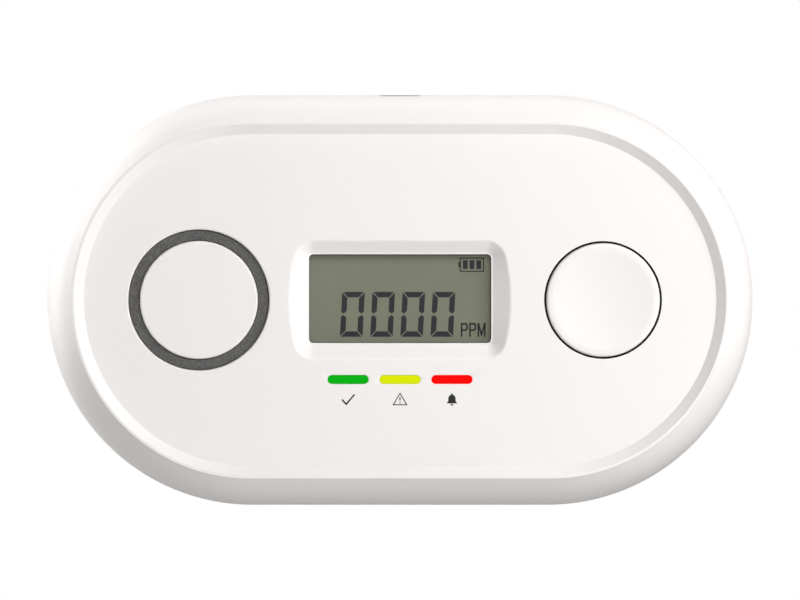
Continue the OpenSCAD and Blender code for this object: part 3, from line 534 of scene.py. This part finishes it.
def clear_acrylic():
    """Clear polished acrylic: seen through, with a faint gloss on its outer faces only."""
    material, tree, position = new_material("acrylic, clear and polished")
    smear, _ = speckled(tree, position, 6 * MM, 0.04, 0.02)
    clear = add_node(tree, "BsdfTransparent", {"Color": (0.97, 0.98, 0.97, 1)})
    gloss = add_node(tree, "BsdfGlossy", {"Roughness": smear})
    mirror = add_node(tree, "Fresnel", {"IOR": 1.49})
    rear = add_node(tree, "NewGeometry").outputs["Backfacing"]
    front = add_node(tree, "Math", {0: 1.0, 1: rear}, operation="SUBTRACT")
    facing = add_node(tree, "Math", {0: mirror, 1: front}, operation="MULTIPLY")
    mix = add_node(tree, "MixShader", {0: facing, 1: clear, 2: gloss})
    add_node(tree, "OutputMaterial", {"Surface": mix})
    return material


def tinted_acrylic(name, rgb, glow):
    """Tinted diffusing acrylic with a lamp behind it: a saturated colour that gives off a little light."""
    return lamp_or_painted_glow(name, rgb, glow, (0.8, 0.75), 2.5 * MM, 0.15 * MM, 0.001 * MM, 0.3, IOR=1.49,
                           Specular_IOR_Level=0.15)


def circuit_laminate():
    """Green solder resist over copper tracks on glass-epoxy: darker lanes where there is no copper."""
    material, tree, position = new_material("glass-epoxy laminate, green solder resist")
    turned = add_node(tree, "Mapping", {"Vector": position, "Rotation": (math.pi / 2, 0, 0)})
    tracks = add_node(tree, "TexBrick",
                      {"Vector": turned, "Scale": 1.0, "Brick Width": 4 * MM, "Row Height": 1.2 * MM,
                       "Mortar Size": 0.12 * MM, "Color1": (*linear("#1C6B3A"), 1),
                       "Color2": (*linear("#17602F"), 1), "Mortar": (*linear("#0E4423"), 1)})
    surface(tree, tracks.outputs["Color"], 0.32, tracks.outputs["Fac"], 0.02 * MM, IOR=1.55)
    return material


def cell_jacket():
    """Printed shrink jacket on a steel can: a blue body with pale bands, and bare steel at both ends."""
    material, tree, position = new_material("battery cell, printed jacket on steel")
    along = add_node(tree, "SeparateXYZ", {"Vector": position}).outputs["X"]
    distance = add_node(tree, "Math", {0: along}, operation="ABSOLUTE")
    tint = (*linear("#1F4E9C"), 1)
    for start, tone in ((17 * MM, "#D9DCE2"), (24.6 * MM, "#B9B6AE")):
        past = add_node(tree, "Math", {0: distance, 1: start}, operation="GREATER_THAN")
        tint = add_node(tree, "Mix", {"Factor": past, "A": tint, "B": (*linear(tone), 1)}, data_type="RGBA")
    rough, scuffs = speckled(tree, position, 2 * MM, 0.29, 0.05)
    surface(tree, tint, rough, scuffs, 0.01 * MM, Metallic=past)
    return material


def give(material, *nodes):
    """Puts a material on CAD nodes."""
    for name in nodes:
        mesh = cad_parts[name].data
        mesh.materials.clear()
        mesh.materials.append(material)


# ---------------------------------------------------------------- housing

def housing_rows(settings, outer_r, depth, parting, vent_low, vent_high):
    """Rows of (distance from the spine, distance from the wall): outside from the panel to the parting line,
    then inside back up to the panel."""
    side_r = settings.rim_inset / (1 - math.cos(math.radians(45)))
    shoulder = depth - side_r * math.sin(math.radians(45))
    centre_r = outer_r - side_r
    panel = depth - settings.panel_recess
    panel_back = panel - settings.panel_thickness
    rim = outer_r - settings.rim_inset - settings.rim_setback
    inner_r = outer_r - settings.wall
    groove_r, groove_top = inner_r + 1.1 * MM, parting + 2.2 * MM    # for the rear cover's tongue
    side = arc((centre_r, shoulder), side_r, 45, 0, 22)
    first = 4    # the land takes the place of the side's points before this one
    crest = [(rim - settings.rim_slope, panel), (rim, depth), (rim + settings.rim_land, depth), side[first]]
    crest = rounded(crest, [0, 0.06 * MM, 0.1 * MM, 0], 4)
    outside = crest + side[first + 1:]
    outside += [(outer_r, vent_high), (outer_r, vent_low), (outer_r, parting + settings.reveal),
                (outer_r - settings.reveal, parting)]
    hollow_r = side_r - settings.wall
    top_angle = math.degrees(math.asin((panel_back - shoulder) / hollow_r))
    inside = [(groove_r, parting), (groove_r, groove_top), (inner_r, groove_top), (inner_r, vent_low),
              (inner_r, vent_high)] + arc((centre_r, shoulder), hollow_r, 0, top_angle, 8)
    return outside, inside, panel, panel_back


def housing_loop(half, radius, top, bottom):
    """One turn round the housing: right end, top stations, left end, bottom stations."""
    right = arc((half, 0), radius, -90, 90, END_STEPS)
    left = arc((-half, 0), radius, 90, 270, END_STEPS)
    return right + [(x, radius) for x in top] + left + [(x, -radius) for x in bottom]


def build_wall(bm, settings):
    """Side, rim and inner wall with the vents top and bottom: returns the edges of the panel's face and back,
    and their distances from the wall."""
    low, high = reach("front_cover")
    outer_r = (high[1] - low[1]) / 2
    half = half_width("front_cover") - outer_r
    grille_low, grille_high = reach("top_vent_grille")
    vent_x = grille_high[0] - GRILLE_SIDE
    vent_low, vent_high = grille_low[2] + GRILLE_EDGE, grille_high[2] - GRILLE_EDGE
    outside, inside, panel, panel_back = housing_rows(settings, outer_r, high[2], low[2], vent_low, vent_high)

    # Stations along the straight stretches, so that every opening has an edge to follow
    scoop_r, scoop_depth = settings.scoop_radius, settings.scoop_depth
    scoop_half = math.sqrt(scoop_r ** 2 - (scoop_r - scoop_depth) ** 2)
    scoop = [scoop_half * (1 - i / 8) for i in range(17)]
    spaced = [half * (0.9 - 0.1 * i) for i in range(7)]
    outer_spaced = spaced[:5]
    top = spaced + [vent_x] + scoop + [-vent_x] + [-x for x in reversed(spaced)]
    inlet_pitch, inlet_half = 3.2 * MM, 0.7 * MM
    inlets = [k * inlet_pitch + side * inlet_half for k in range(-3, 4) for side in (-1, 1)]
    bottom = [-x for x in outer_spaced] + inlets + outer_spaced[::-1]

    # The scoop starts at the vent and ends in a short ramp. It dips only the rows on the outside.
    scoop_top, ramp_length = vent_high + 5 * MM, 0.8 * MM
    dipped_r = outer_r - 1.2 * MM
    loops = []
    for row_r, out in outside + inside:
        inset = min(max((outer_r - row_r) / settings.rim_inset, 0), 1)
        stretch = settings.rim_stretch * inset if len(loops) < len(outside) else 0
        loop = add_loop(bm, housing_loop(half + stretch, row_r - stretch, top, bottom), out)
        if row_r > dipped_r and vent_high - PLAY < out < scoop_top:
            ramp = min(1, (scoop_top - out) / ramp_length)
            for vert in loop:
                if vert.co.z > 0 and abs(vert.co.x) < scoop_half:
                    floor = outer_r + scoop_r - scoop_depth - math.sqrt(scoop_r ** 2 - vert.co.x ** 2)
                    vert.co.z -= max(0, vert.co.z - floor) * ramp
        loops.append(loop)

    # Vents are left out of the wall between the two vent rows, and lined from outside to inside
    count = len(loops[0])
    top_start = END_STEPS + 1 + len(spaced)
    bottom_start = 2 * (END_STEPS + 1) + len(top) + len(outer_spaced)
    vents = [range(top_start, top_start + len(scoop) + 1)]
    vents += [range(bottom_start + k, bottom_start + k + 1) for k in range(0, len(inlets), 2)]
    open_columns = {column for columns in vents for column in columns}
    outer_row = outside.index((outer_r, vent_high))
    inner_row = len(outside) + inside.index((outer_r - settings.wall, vent_low))
    for i in range(len(loops) - 1):
        for j in range(count):
            if i not in (outer_row, inner_row) or j not in open_columns:
                k = (j + 1) % count
                bm.faces.new((loops[i][j], loops[i][k], loops[i + 1][k], loops[i + 1][j]))
    for columns in vents:
        span = range(columns[0], columns[-1] + 2)
        outer_edge = [loops[outer_row][c] for c in span] + [loops[outer_row + 1][c] for c in reversed(span)]
        inner_edge = [loops[inner_row + 1][c] for c in span] + [loops[inner_row][c] for c in reversed(span)]
        skin(bm, outer_edge, inner_edge)
    return loops[0], loops[-1], panel, panel_back


def window_rows(settings, panel, panel_back):
    """Outlines of the readout's frame: its rounded top edge, its slope, and the lip round the window."""
    width, height = window_size()
    frame_w, frame_h = width + 6.8 * MM, height + 4.8 * MM
    corner, edge, lean = 3.4 * MM, 0.5 * MM, 13.5
    lip = panel_back + 0.5 * MM
    grown = (barrel(frame_w + edge, frame_h + edge, corner + edge / 2, lean), panel)
    frame_top = (barrel(frame_w, frame_h, corner, lean), panel)
    foot = (window_outline(settings, 0.6 * MM), lip)
    lip_edge = (window_outline(settings, 0.1 * MM), lip)
    opening = window_outline(settings, 0)
    rows = eased(grown, frame_top, between(frame_top, foot, 0.12))
    rows += eased(between(frame_top, foot, 0.96), foot, between(foot, lip_edge, 0.15), 2)
    rows += eased(between(foot, lip_edge, 0.8), lip_edge, (opening, lip - 0.15 * MM), 2)
    return rows + [(opening, panel_back)]


def build_sounder_slot(bm, settings, panel, panel_back):
    """Ring-shaped slot with four ports in its floor: returns its outer edge and the ports' rear edges."""
    centre, floor = middle("sounder_ring"), reach("sounder_ring")[0][2]
    slot_r = half_width("sounder_ring") + PLAY
    disc_r = slot_r - 1.95 * MM
    walls = []
    for radius, soft in ((slot_r, settings.edge_radius), (disc_r, -settings.edge_radius)):
        rows = rounded_edge(lambda e: circle(centre, radius + e), panel, soft)
        walls.append(loft(bm, rows + [(circle(centre, radius), floor)]))
    groove, disc = walls
    edge, spread = 0.2 * MM, 40
    ports = []
    for turn in (0, 90, 180, 270):
        outline = arc(centre, slot_r - edge, turn - spread, turn + spread, 24)
        outline += arc(centre, disc_r + edge, turn + spread, turn - spread, 24)
        ports.append(loft(bm, [(outline, floor), (outline, panel_back)]))
    cap(bm, [groove[-1], disc[-1]] + [port[0] for port in ports])
    cap(bm, [disc[0]])
    return groove[0], [port[1] for port in ports]


def build_front_shell(settings, material):
    """Front cover: rounded side, raised rim, recessed panel with its openings, and vents top and bottom."""
    bm = bmesh.new()
    face_edge, back_edge, panel, panel_back = build_wall(bm, settings)
    window = loft(bm, window_rows(settings, panel, panel_back))
    slot, ports = build_sounder_slot(bm, settings, panel, panel_back)
    front = [face_edge, window[0], slot]
    back = [back_edge, window[-1]] + ports
    hole_r = half_width("test_button") - HOLE_SETBACK
    outlines = [lambda e: circle(middle("test_button"), hole_r + e)]
    for name in LIGHT_PIPES:
        low, high = reach(name)
        width, height = high[0] - low[0] - 2 * PIPE_LAP, high[1] - low[1] - 2 * PIPE_LAP
        outlines.append(lambda e, c=middle(name), w=width, h=height: pill(c, w + 2 * e, h + 2 * e))
    for outline in outlines:
        hole = loft(bm, rounded_edge(outline, panel, 0.1 * MM) + [(outline(0), panel_back)])
        front.append(hole[0])
        back.append(hole[-1])
    cap(bm, front)
    cap(bm, back)
    return finish_mesh(bm, "front_shell", material, "housing", ["front_cover"])


def build_button(material):
    """Test button: shallow dish, soft rim, skirt, retaining flange and stem, all turned about one axis."""
    low, high = reach("test_button")
    top, foot = high[2], low[2]
    flange_r = half_width("test_button")
    cap_r = flange_r - CAP_SETBACK
    skirt_r, stem_r = cap_r - 1.3 * MM, 2.2 * MM
    under = top - 2.1 * MM
    flange_top = top - 2.5 * MM
    flange_foot, skirt_foot = flange_top - 1.2 * MM, flange_top - 2.2 * MM
    dish_r, depth = cap_r - 1.15 * MM, 0.5 * MM
    dish = [(dish_r * (1 - i / 12), top - depth * (1 - (1 - i / 12) ** 2)) for i in range(13)]
    profile = [(0, foot), (stem_r, foot), (stem_r, under), (skirt_r, under), (skirt_r, skirt_foot),
               (cap_r, skirt_foot), (cap_r, flange_foot), (flange_r, flange_foot), (flange_r, flange_top),
               (cap_r, flange_top)]
    rim = rounded([(cap_r, flange_top), (cap_r, top), dish[0], dish[2]], [0, 0.55 * MM, 0.9 * MM, 0], 8)
    bm = bmesh.new()
    lathe(bm, profile + rim[1:] + dish[3:], middle("test_button"))
    return finish_mesh(bm, "button_cap", material, "button", ["test_button"], 50)


def build_button_shadow_ring(settings, material):
    """Dark ring in the gap round the button, just below the panel's face: a painted shadow in the gap."""
    inner_r, outer_r = [half_width("test_button") - setback for setback in SHADOW_RING_SETBACKS]
    face = reach("front_cover")[1][2] - settings.panel_recess - 0.22 * MM
    foot = reach("test_button")[1][2] - 2.35 * MM
    bm = bmesh.new()
    rings = lathe(bm, [(outer_r, foot), (outer_r, face), (inner_r, face), (inner_r, foot)],
                  middle("test_button"))
    skin(bm, rings[-1], rings[0])
    return finish_mesh(bm, "button_seal", material, "housing")


def build_sounder_ring(material):
    """Ring of acoustic mesh, pressed a little lower at both edges."""
    low, high = reach("sounder_ring")
    outer_r = half_width("sounder_ring")
    inner_r = outer_r - 1.85 * MM
    back, crown = low[2], high[2]
    edge, slope = crown - 0.16 * MM, 0.22 * MM
    bm = bmesh.new()
    rings = lathe(bm, [(outer_r, back), (outer_r, edge), (outer_r - slope, crown), (inner_r + slope, crown),
                       (inner_r, edge), (inner_r, back)], middle("sounder_ring"), 192)
    skin(bm, rings[-1], rings[0])
    return finish_mesh(bm, "sounder_mesh_ring", material, "housing", ["sounder_ring"], 60)


# ---------------------------------------------------------------- readout

def numeral_segments(x, up, settings):
    """Outlines of the six lit segments of a zero, with mitred ends, leaning by the slant."""
    width, height, thick = settings.digit_width, settings.digit_height, settings.segment_width
    gap = 0.12 * MM
    joint = height / 2 - gap
    upright = [(0, gap), (thick, gap + thick), (thick, joint - 0.5 * thick), (0.45 * thick, joint),
               (0, joint - 0.3 * thick)]
    level = [(1.4 * gap, 0), (width - 1.4 * gap, 0), (width - thick - 0.6 * gap, thick),
             (thick + 0.6 * gap, thick)]
    lean = math.tan(settings.slant)
    places = [(upright, right, upper) for right in (0, 1) for upper in (0, 1)]
    places += [(level, 0, upper) for upper in (0, 1)]
    shapes = []
    for outline, right, upper in places:
        mirrored = [(width - px if right else px, height - py if upper else py) for px, py in outline]
        shapes.append([(x + px + py * lean, up + py) for px, py in mirrored])
    return shapes


def box(x, up, width, height):
    """Outline with four square corners, from its lower left corner."""
    return [(x, up), (x + width, up), (x + width, up + height), (x, up + height)]


def battery_sign(x, up):
    """Battery symbol with its nub on the left and three bars."""
    width, height = 3.95 * MM, 2.25 * MM
    bar_w, bar_h, bar_pitch, inset = 0.82 * MM, 1.5 * MM, 1.15 * MM, 0.42 * MM
    nub = 0.34 * MM
    outlines = stroke(box(x, up, width, height), 0.19 * MM, closed=True)
    outlines += [box(x + inset + k * bar_pitch, up + (height - bar_h) / 2, bar_w, bar_h) for k in range(3)]
    return outlines + [box(x - nub, up + 0.3 * height, nub, 0.4 * height)]


def unit_sign(x, up):
    """Unit of the reading, in plain straight strokes."""
    height, width, pitch, pen = 2.08 * MM, 0.92 * MM, 1.42 * MM, 0.28 * MM
    bowed = [(0, 0), (0, 1)], [(0, 1), (0.75, 1), (1, 0.87), (1, 0.62), (0.75, 0.48), (0, 0.48)]
    peaked = [(0, 0), (0, 1), (0.6, 0.1), (1.2, 1), (1.2, 0)],
    outlines = []
    for k, lines in enumerate((bowed, bowed, peaked)):
        for line in lines:
            outlines += stroke([(x + k * pitch + px * width, up + py * height) for px, py in line], pen)
    return outlines


def build_sheets(name, outlines, out, thickness, material):
    """Piece made of thin flat shapes, such as segments or print."""
    bm = bmesh.new()
    for outline in outlines:
        flat_sheet(bm, outline, out, thickness)
    return finish_mesh(bm, name, material, "housing")


def build_readout(settings, ink):
    """Dark segments, battery symbol and unit just in front of the liquid-crystal field."""
    start, base = -10.25 * MM, -6.27 * MM
    shapes = []
    for k in range(settings.digits):
        shapes += numeral_segments(start + k * settings.digit_pitch, base, settings)
    shapes += battery_sign(10.3 * MM, 4.9 * MM)
    shapes += unit_sign(10.52 * MM, base + 0.14 * MM)
    out = reach("display_glass")[1][2]
    return build_sheets("readout_segments", shapes, out, 0.02 * MM, ink)


def build_shadow_border(settings, material):
    """Dark border round the liquid-crystal field, which shows as a thin line inside the window: painted
    shadow along the window's edge.
    """
    low, high = reach("display_glass")
    thickness = 0.03 * MM
    outlines = [rounded_rect(high[0] - low[0], high[1] - low[1], 0.3 * MM),
                window_outline(settings, -0.3 * MM)]
    bm = bmesh.new()
    front = [add_loop(bm, outline, high[2] + thickness) for outline in outlines]
    back = [add_loop(bm, outline, high[2]) for outline in outlines]
    for a, b in zip(front, back):
        skin(bm, a, b)
    cap(bm, front)
    cap(bm, back)
    return finish_mesh(bm, "readout_mask", material, "housing")


# ---------------------------------------------------------------- printed signs

def scaled(x, up, points):
    """Points given in millimetres from a sign's middle."""
    return [(x + px * MM, up + py * MM) for px, py in points]


def tick_sign(x, up):
    return stroke(scaled(x, up, [(-0.95, -0.05), (-0.3, -0.75), (1, 0.8)]), 0.26 * MM)


def fault_sign(x, up):
    """Exclamation mark in a triangle."""
    outlines = stroke(scaled(x, up, [(-1.15, -0.85), (1.15, -0.85), (0, 1.1)]), 0.17 * MM, closed=True)
    for line in ([(0, -0.02), (0, 0.38)], [(0, -0.5), (0, -0.49)]):
        outlines += stroke(scaled(x, up, line), 0.2 * MM)
    return outlines


def bell_sign(x, up):
    """Bell with its clapper and its knob."""
    crown = arc((0, 0.25), 0.62, 0, 180, 12)
    body = [(-0.95, -0.62), (0.95, -0.62), (0.64, -0.3)] + crown + [(-0.64, -0.3)]
    clapper = arc((0, -0.74), 0.26, 180, 360, 8)
    knob = circle((0, 0.95), 0.15, 16)
    return [scaled(x, up, outline) for outline in (body, clapper, knob)]


def build_signs(ink):
    """Small printed signs under the light windows: a tick, a fault triangle and a bell."""
    drop = 3.45 * MM
    face = reach("display_lens")[1][2] + 2 * MM
    shapes = []
    for name, sign in zip(LIGHT_PIPES, (tick_sign, fault_sign, bell_sign)):
        x, up = middle(name)
        shapes += sign(x, up - drop)
    return build_sheets("printed_signs", shapes, face, 0.012 * MM, ink)


# ---------------------------------------------------------------- studio

def build_floor(settings):
    bm = bmesh.new()
    bmesh.ops.create_circle(bm, cap_ends=True, segments=96, radius=10)
    mesh = bpy.data.meshes.new("studio_floor")
    bm.to_mesh(mesh)
    bm.free()
    floor = bpy.data.objects.new("studio_floor", mesh)
    floor.location.z = -settings.floor_drop
    bpy.context.scene.collection.objects.link(floor)
    # Matt pale grey, a little uneven
    material, tree, position = new_material("studio floor, matt paint")
    tint = mottled(tree, position, 40 * MM, settings.floor, dimmed(settings.floor, 0.98))
    seen = add_node(tree, "LightPath").outputs["Is Camera Ray"]
    glow = add_node(tree, "MapRange", {"Value": seen, "To Max": settings.floor_glow})
    surface(tree, tint, 0.9, Emission_Color=(1, 1, 1, 1), Emission_Strength=glow)
    mesh.materials.append(material)


def build_world(settings):
    """White backdrop behind the detector and pale grey elsewhere. It lights only with a dim fill."""
    world = bpy.data.worlds.new("studio surround")
    bpy.context.scene.world = world
    world.use_nodes = True
    tree = world.node_tree
    tree.nodes.clear()
    direction = add_node(tree, "TexCoord").outputs["Generated"]
    depth = add_node(tree, "SeparateXYZ", {"Vector": direction}).outputs["Y"]
    fill = add_node(tree, "MapRange",
                    {"Value": depth, "To Min": settings.fill, "To Max": settings.fill + settings.backdrop})
    wall = add_node(tree, "MapRange",
                    {"Value": depth, "From Min": 0.5, "From Max": 0.98, "To Min": settings.surround})
    light, white = [add_node(tree, "Background", {"Color": (1, 1, 1, 1), "Strength": strength})
                    for strength in (fill, wall)]
    seen = add_node(tree, "LightPath").outputs["Is Camera Ray"]
    mix = add_node(tree, "MixShader", {0: seen, 1: light, 2: white})
    add_node(tree, "OutputWorld", {"Surface": mix})


def build_lights(settings):
    """Square softboxes aimed at the detector: three in front, four behind its edges and two from below."""
    for name, (position, size) in SOFTBOXES.items():
        light = bpy.data.lights.new(f"{name} light", "AREA")
        light.shape = "SQUARE"
        light.size = size
        light.energy = getattr(settings, f"{name}_power")
        softbox = bpy.data.objects.new(f"{name} light", light)
        softbox.location = position
        softbox.rotation_euler = (-softbox.location).to_track_quat("-Z", "Y").to_euler()
        softbox.visible_camera = False
        bpy.context.scene.collection.objects.link(softbox)


def build_camera(settings):
    """Level camera straight in front, framed on the widest part of the housing."""
    shoulder = 10.5 * MM    # distance from the rim back to where the rounded side ends
    widest = reach("front_cover")[1][2] - shoulder
    camera = bpy.data.cameras.new("camera")
    camera.lens = settings.lens
    camera.clip_end = 50
    distance = settings.view_width * settings.lens / camera.sensor_width
    view = bpy.data.objects.new("camera", camera)
    view.location = place(0, 0, widest + distance)
    view.rotation_euler = (math.pi / 2, 0, 0)
    bpy.context.scene.collection.objects.link(view)
    bpy.context.scene.camera = view


# ---------------------------------------------------------------- operators

class DETECTOR_OT_front_shell(Operator):
    """Builds the front cover with its rim, panel and openings"""
    bl_idname = "detector.front_shell"
    bl_label = "Front Shell"

    def execute(self, context):
        settings = context.scene.detector_housing
        build_front_shell(settings, moulded_abs("ABS, moulded, spark-eroded satin", settings.plastic))
        return {"FINISHED"}


class DETECTOR_OT_rear_shell(Operator):
    """Finishes the rear cover, the battery door, the vent grille and the screws"""
    bl_idname = "detector.rear_shell"
    bl_label = "Rear Shell"

    def execute(self, context):
        plastic = context.scene.detector_housing.plastic
        # The front's satin white, with soft edges that catch the light
        give(moulded_abs("ABS, moulded, rear", plastic, softening=0.2 * MM), "rear_cover", "battery_door")
        # Near black and half matt, so that the vents read as openings
        give(simple_finish("ABS, black moulded", "#1C1C1E", "#262628", 0.4, 0.5, 0.01, 0.1, IOR=1.53),
             "top_vent_grille", "sensor_cap", "sounder_case")
        # Cold grey metal, a little cloudy
        give(simple_finish("steel, zinc plated", "#B4B8BC", "#9DA2A8", 1.5, 0.32, 0.01, 0.08, Metallic=1.0),
             "housing_screws", "board_screws")
        return {"FINISHED"}


class DETECTOR_OT_button(Operator):
    """Builds the test button and the dark ring that paints the shadow in the gap round it"""
    bl_idname = "detector.button"
    bl_label = "Test Button"

    def execute(self, context):
        settings = context.scene.detector_housing
        # A finer grain than the housing's, so the cap is a little glossier
        build_button(moulded_abs("ABS, moulded, fine satin", settings.plastic, 0.12 * MM, 0.003 * MM, 0.4))
        # Black and dead matt: a painted shadow line round the cap
        build_button_shadow_ring(settings, simple_finish("rubber, black seal", "#050506", "#0A0A0B", 0.2, 0.9, 0.01))
        return {"FINISHED"}


class DETECTOR_OT_sounder(Operator):
    """Builds the mesh ring and finishes the sounder inside"""
    bl_idname = "detector.sounder"
    bl_label = "Sounder"

    def execute(self, context):
        build_sounder_ring(acoustic_mesh())
        # Warm yellow metal, smooth
        give(simple_finish("brass, rolled", "#C7A35A", "#B08D49", 0.8, 0.3, 0.004, Metallic=1.0),
             "sounder_plate")
        # Pale grey, between metal and chalk
        give(simple_finish("ceramic, silvered", "#CFCBC2", "#BDB8AE", 0.6, 0.42, 0.004, Metallic=0.6),
             "sounder_ceramic")
        # Dull black and pitted
        give(simple_finish("foam, closed cell", "#2A2A2B", "#1B1B1C", 0.5, 0.95, 0.08), "sounder_gasket")
        return {"FINISHED"}


class DETECTOR_OT_readout(Operator):
    """Builds the numerals and symbols and finishes the lens, the glass and its holder"""
    bl_idname = "detector.readout"
    bl_label = "Readout"

    def execute(self, context):
        settings = context.scene.detector_readout
        # Near black with a hint of blue, and flat
        segment = simple_finish("liquid-crystal segment, dark", "#24242B", "#292930", 0.5, 0.4, 0.001)
        build_readout(settings, segment)
        # Dark olive, so the field ends in a thin soft line of painted shadow
        border = simple_finish("liquid-crystal border, dark print", "#55564B", "#5E5F54", 0.6, 0.5, 0.001)
        build_shadow_border(context.scene.detector_housing, border)
        # The field's glow is painted light that evens out the shade from the window's recess
        give(liquid_crystal_field(settings.reflector, settings.painted_glow), "display_glass")
        give(clear_acrylic(), "display_lens")
        # Cream and satin
        give(simple_finish("nylon, ivory", "#E4DFCF", "#D8D2C0", 1, 0.5, 0.01), "display_holder")
        # Pink rubber with fine dark layers
        give(banded_finish("rubber, layered conductive", "#D88E9A", "#3A3436", 0.2, "X", 0.7, 0.01),
             "display_contact_strips")
        return {"FINISHED"}


class DETECTOR_OT_lights(Operator):
    """Finishes the three light windows and the lamps behind them"""
    bl_idname = "detector.lights"
    bl_label = "Light Windows"

    def execute(self, context):
        settings = context.scene.detector_lights
        for tone in ("green", "yellow", "red"):
            acrylic = tinted_acrylic(f"acrylic, {tone} diffusing", getattr(settings, tone), settings.glow)
            give(acrylic, f"light_pipe_{tone}")
        # Pale yellow and glossy
        give(simple_finish("epoxy, pale lamp body", "#F1EBCF", "#E6DDB6", 0.5, 0.25, 0.002), "indicator_leds")
        return {"FINISHED"}


class DETECTOR_OT_signs(Operator):
    """Builds the printed signs under the light windows"""
    bl_idname = "detector.signs"
    bl_label = "Printed Signs"

    def execute(self, context):
        # Flat black with a slight sheen
        build_signs(simple_finish("pad-printing ink, black", "#0E0E0F", "#161617", 0.3, 0.55, 0.001))
        return {"FINISHED"}


class DETECTOR_OT_inside(Operator):
    """Finishes the circuit board, the gas sensor, the cells and their contacts"""
    bl_idname = "detector.inside"
    bl_label = "Inside"

    def execute(self, context):
        give(circuit_laminate(), "circuit_board")
        # Dull black blocks
        give(simple_finish("moulding compound, matt black", "#1E1F20", "#282A2B", 0.2, 0.6, 0.01),
             "microcontroller", "test_switch_body", "test_switch_plunger")
        # Sandy and dry
        give(simple_finish("ceramic, tan fired", "#B79B74", "#A78A64", 0.3, 0.5, 0.01), "chip_parts")
        # Blue black with the gloss of stretched film
        give(simple_finish("shrink sleeve, dark blue", "#2B3144", "#232839", 1, 0.3, 0.01), "capacitors")
        # Copper-brown turns with dark gaps between them
        give(banded_finish("copper winding, enamelled", "#A5542B", "#5E2E18", 0.25, "Y", 0.3, 0.05,
                           Metallic=0.7), "sounder_transformer")
        # Warm bright metal
        give(simple_finish("steel, nickel plated", "#C9C5BC", "#B5B0A6", 1.2, 0.25, 0.006, Metallic=1.0),
             "quartz_crystal", "sensor_can", "sounder_pins", "contact_positive", "contact_negative",
             "contact_link_left", "contact_link_right", "contact_springs")
        # Yellow, smooth and bright
        give(simple_finish("gold plating", "#E3BE6A", "#D6AE58", 0.5, 0.2, 0.002, Metallic=1.0),
             "sensor_pins")
        give(cell_jacket(), "battery_top", "battery_middle", "battery_bottom")
        return {"FINISHED"}


class DETECTOR_OT_studio(Operator):
    """Builds the floor, the surround, the lights and the camera"""
    bl_idname = "detector.studio"
    bl_label = "Studio"

    def execute(self, context):
        settings = context.scene.detector_studio
        context.scene.view_settings.view_transform = "Standard"
        build_floor(settings)
        build_world(settings)
        build_lights(settings)
        build_camera(settings)
        return {"FINISHED"}


class DETECTOR_PT_panel(Panel):
    """Lists the pieces of the detector"""
    bl_idname = "DETECTOR_PT_panel"
    bl_label = "Carbon Monoxide Detector"
    bl_space_type = "VIEW_3D"
    bl_region_type = "UI"
    bl_category = "Detector"

    def draw(self, context):
        for operator in OPERATORS:
            self.layout.operator(operator.bl_idname)


SETTINGS = {
    "detector_housing": HousingSettings,
    "detector_readout": ReadoutSettings,
    "detector_lights": LightSettings,
    "detector_studio": StudioSettings,
}
OPERATORS = (
    DETECTOR_OT_front_shell, DETECTOR_OT_rear_shell, DETECTOR_OT_button, DETECTOR_OT_sounder,
    DETECTOR_OT_readout, DETECTOR_OT_lights, DETECTOR_OT_signs, DETECTOR_OT_inside, DETECTOR_OT_studio,
)
CLASSES = (*SETTINGS.values(), *OPERATORS, DETECTOR_PT_panel)


def register():
    for cls in CLASSES:
        bpy.utils.register_class(cls)
    for name, group in SETTINGS.items():
        setattr(bpy.types.Scene, name, PointerProperty(type=group))


def unregister():
    for name in SETTINGS:
        delattr(bpy.types.Scene, name)
    for cls in reversed(CLASSES):
        bpy.utils.unregister_class(cls)


def main():
    register()
    for operator in OPERATORS:
        group, name = operator.bl_idname.split(".")
        getattr(getattr(bpy.ops, group), name)()


if __name__ == "__main__":
    main()
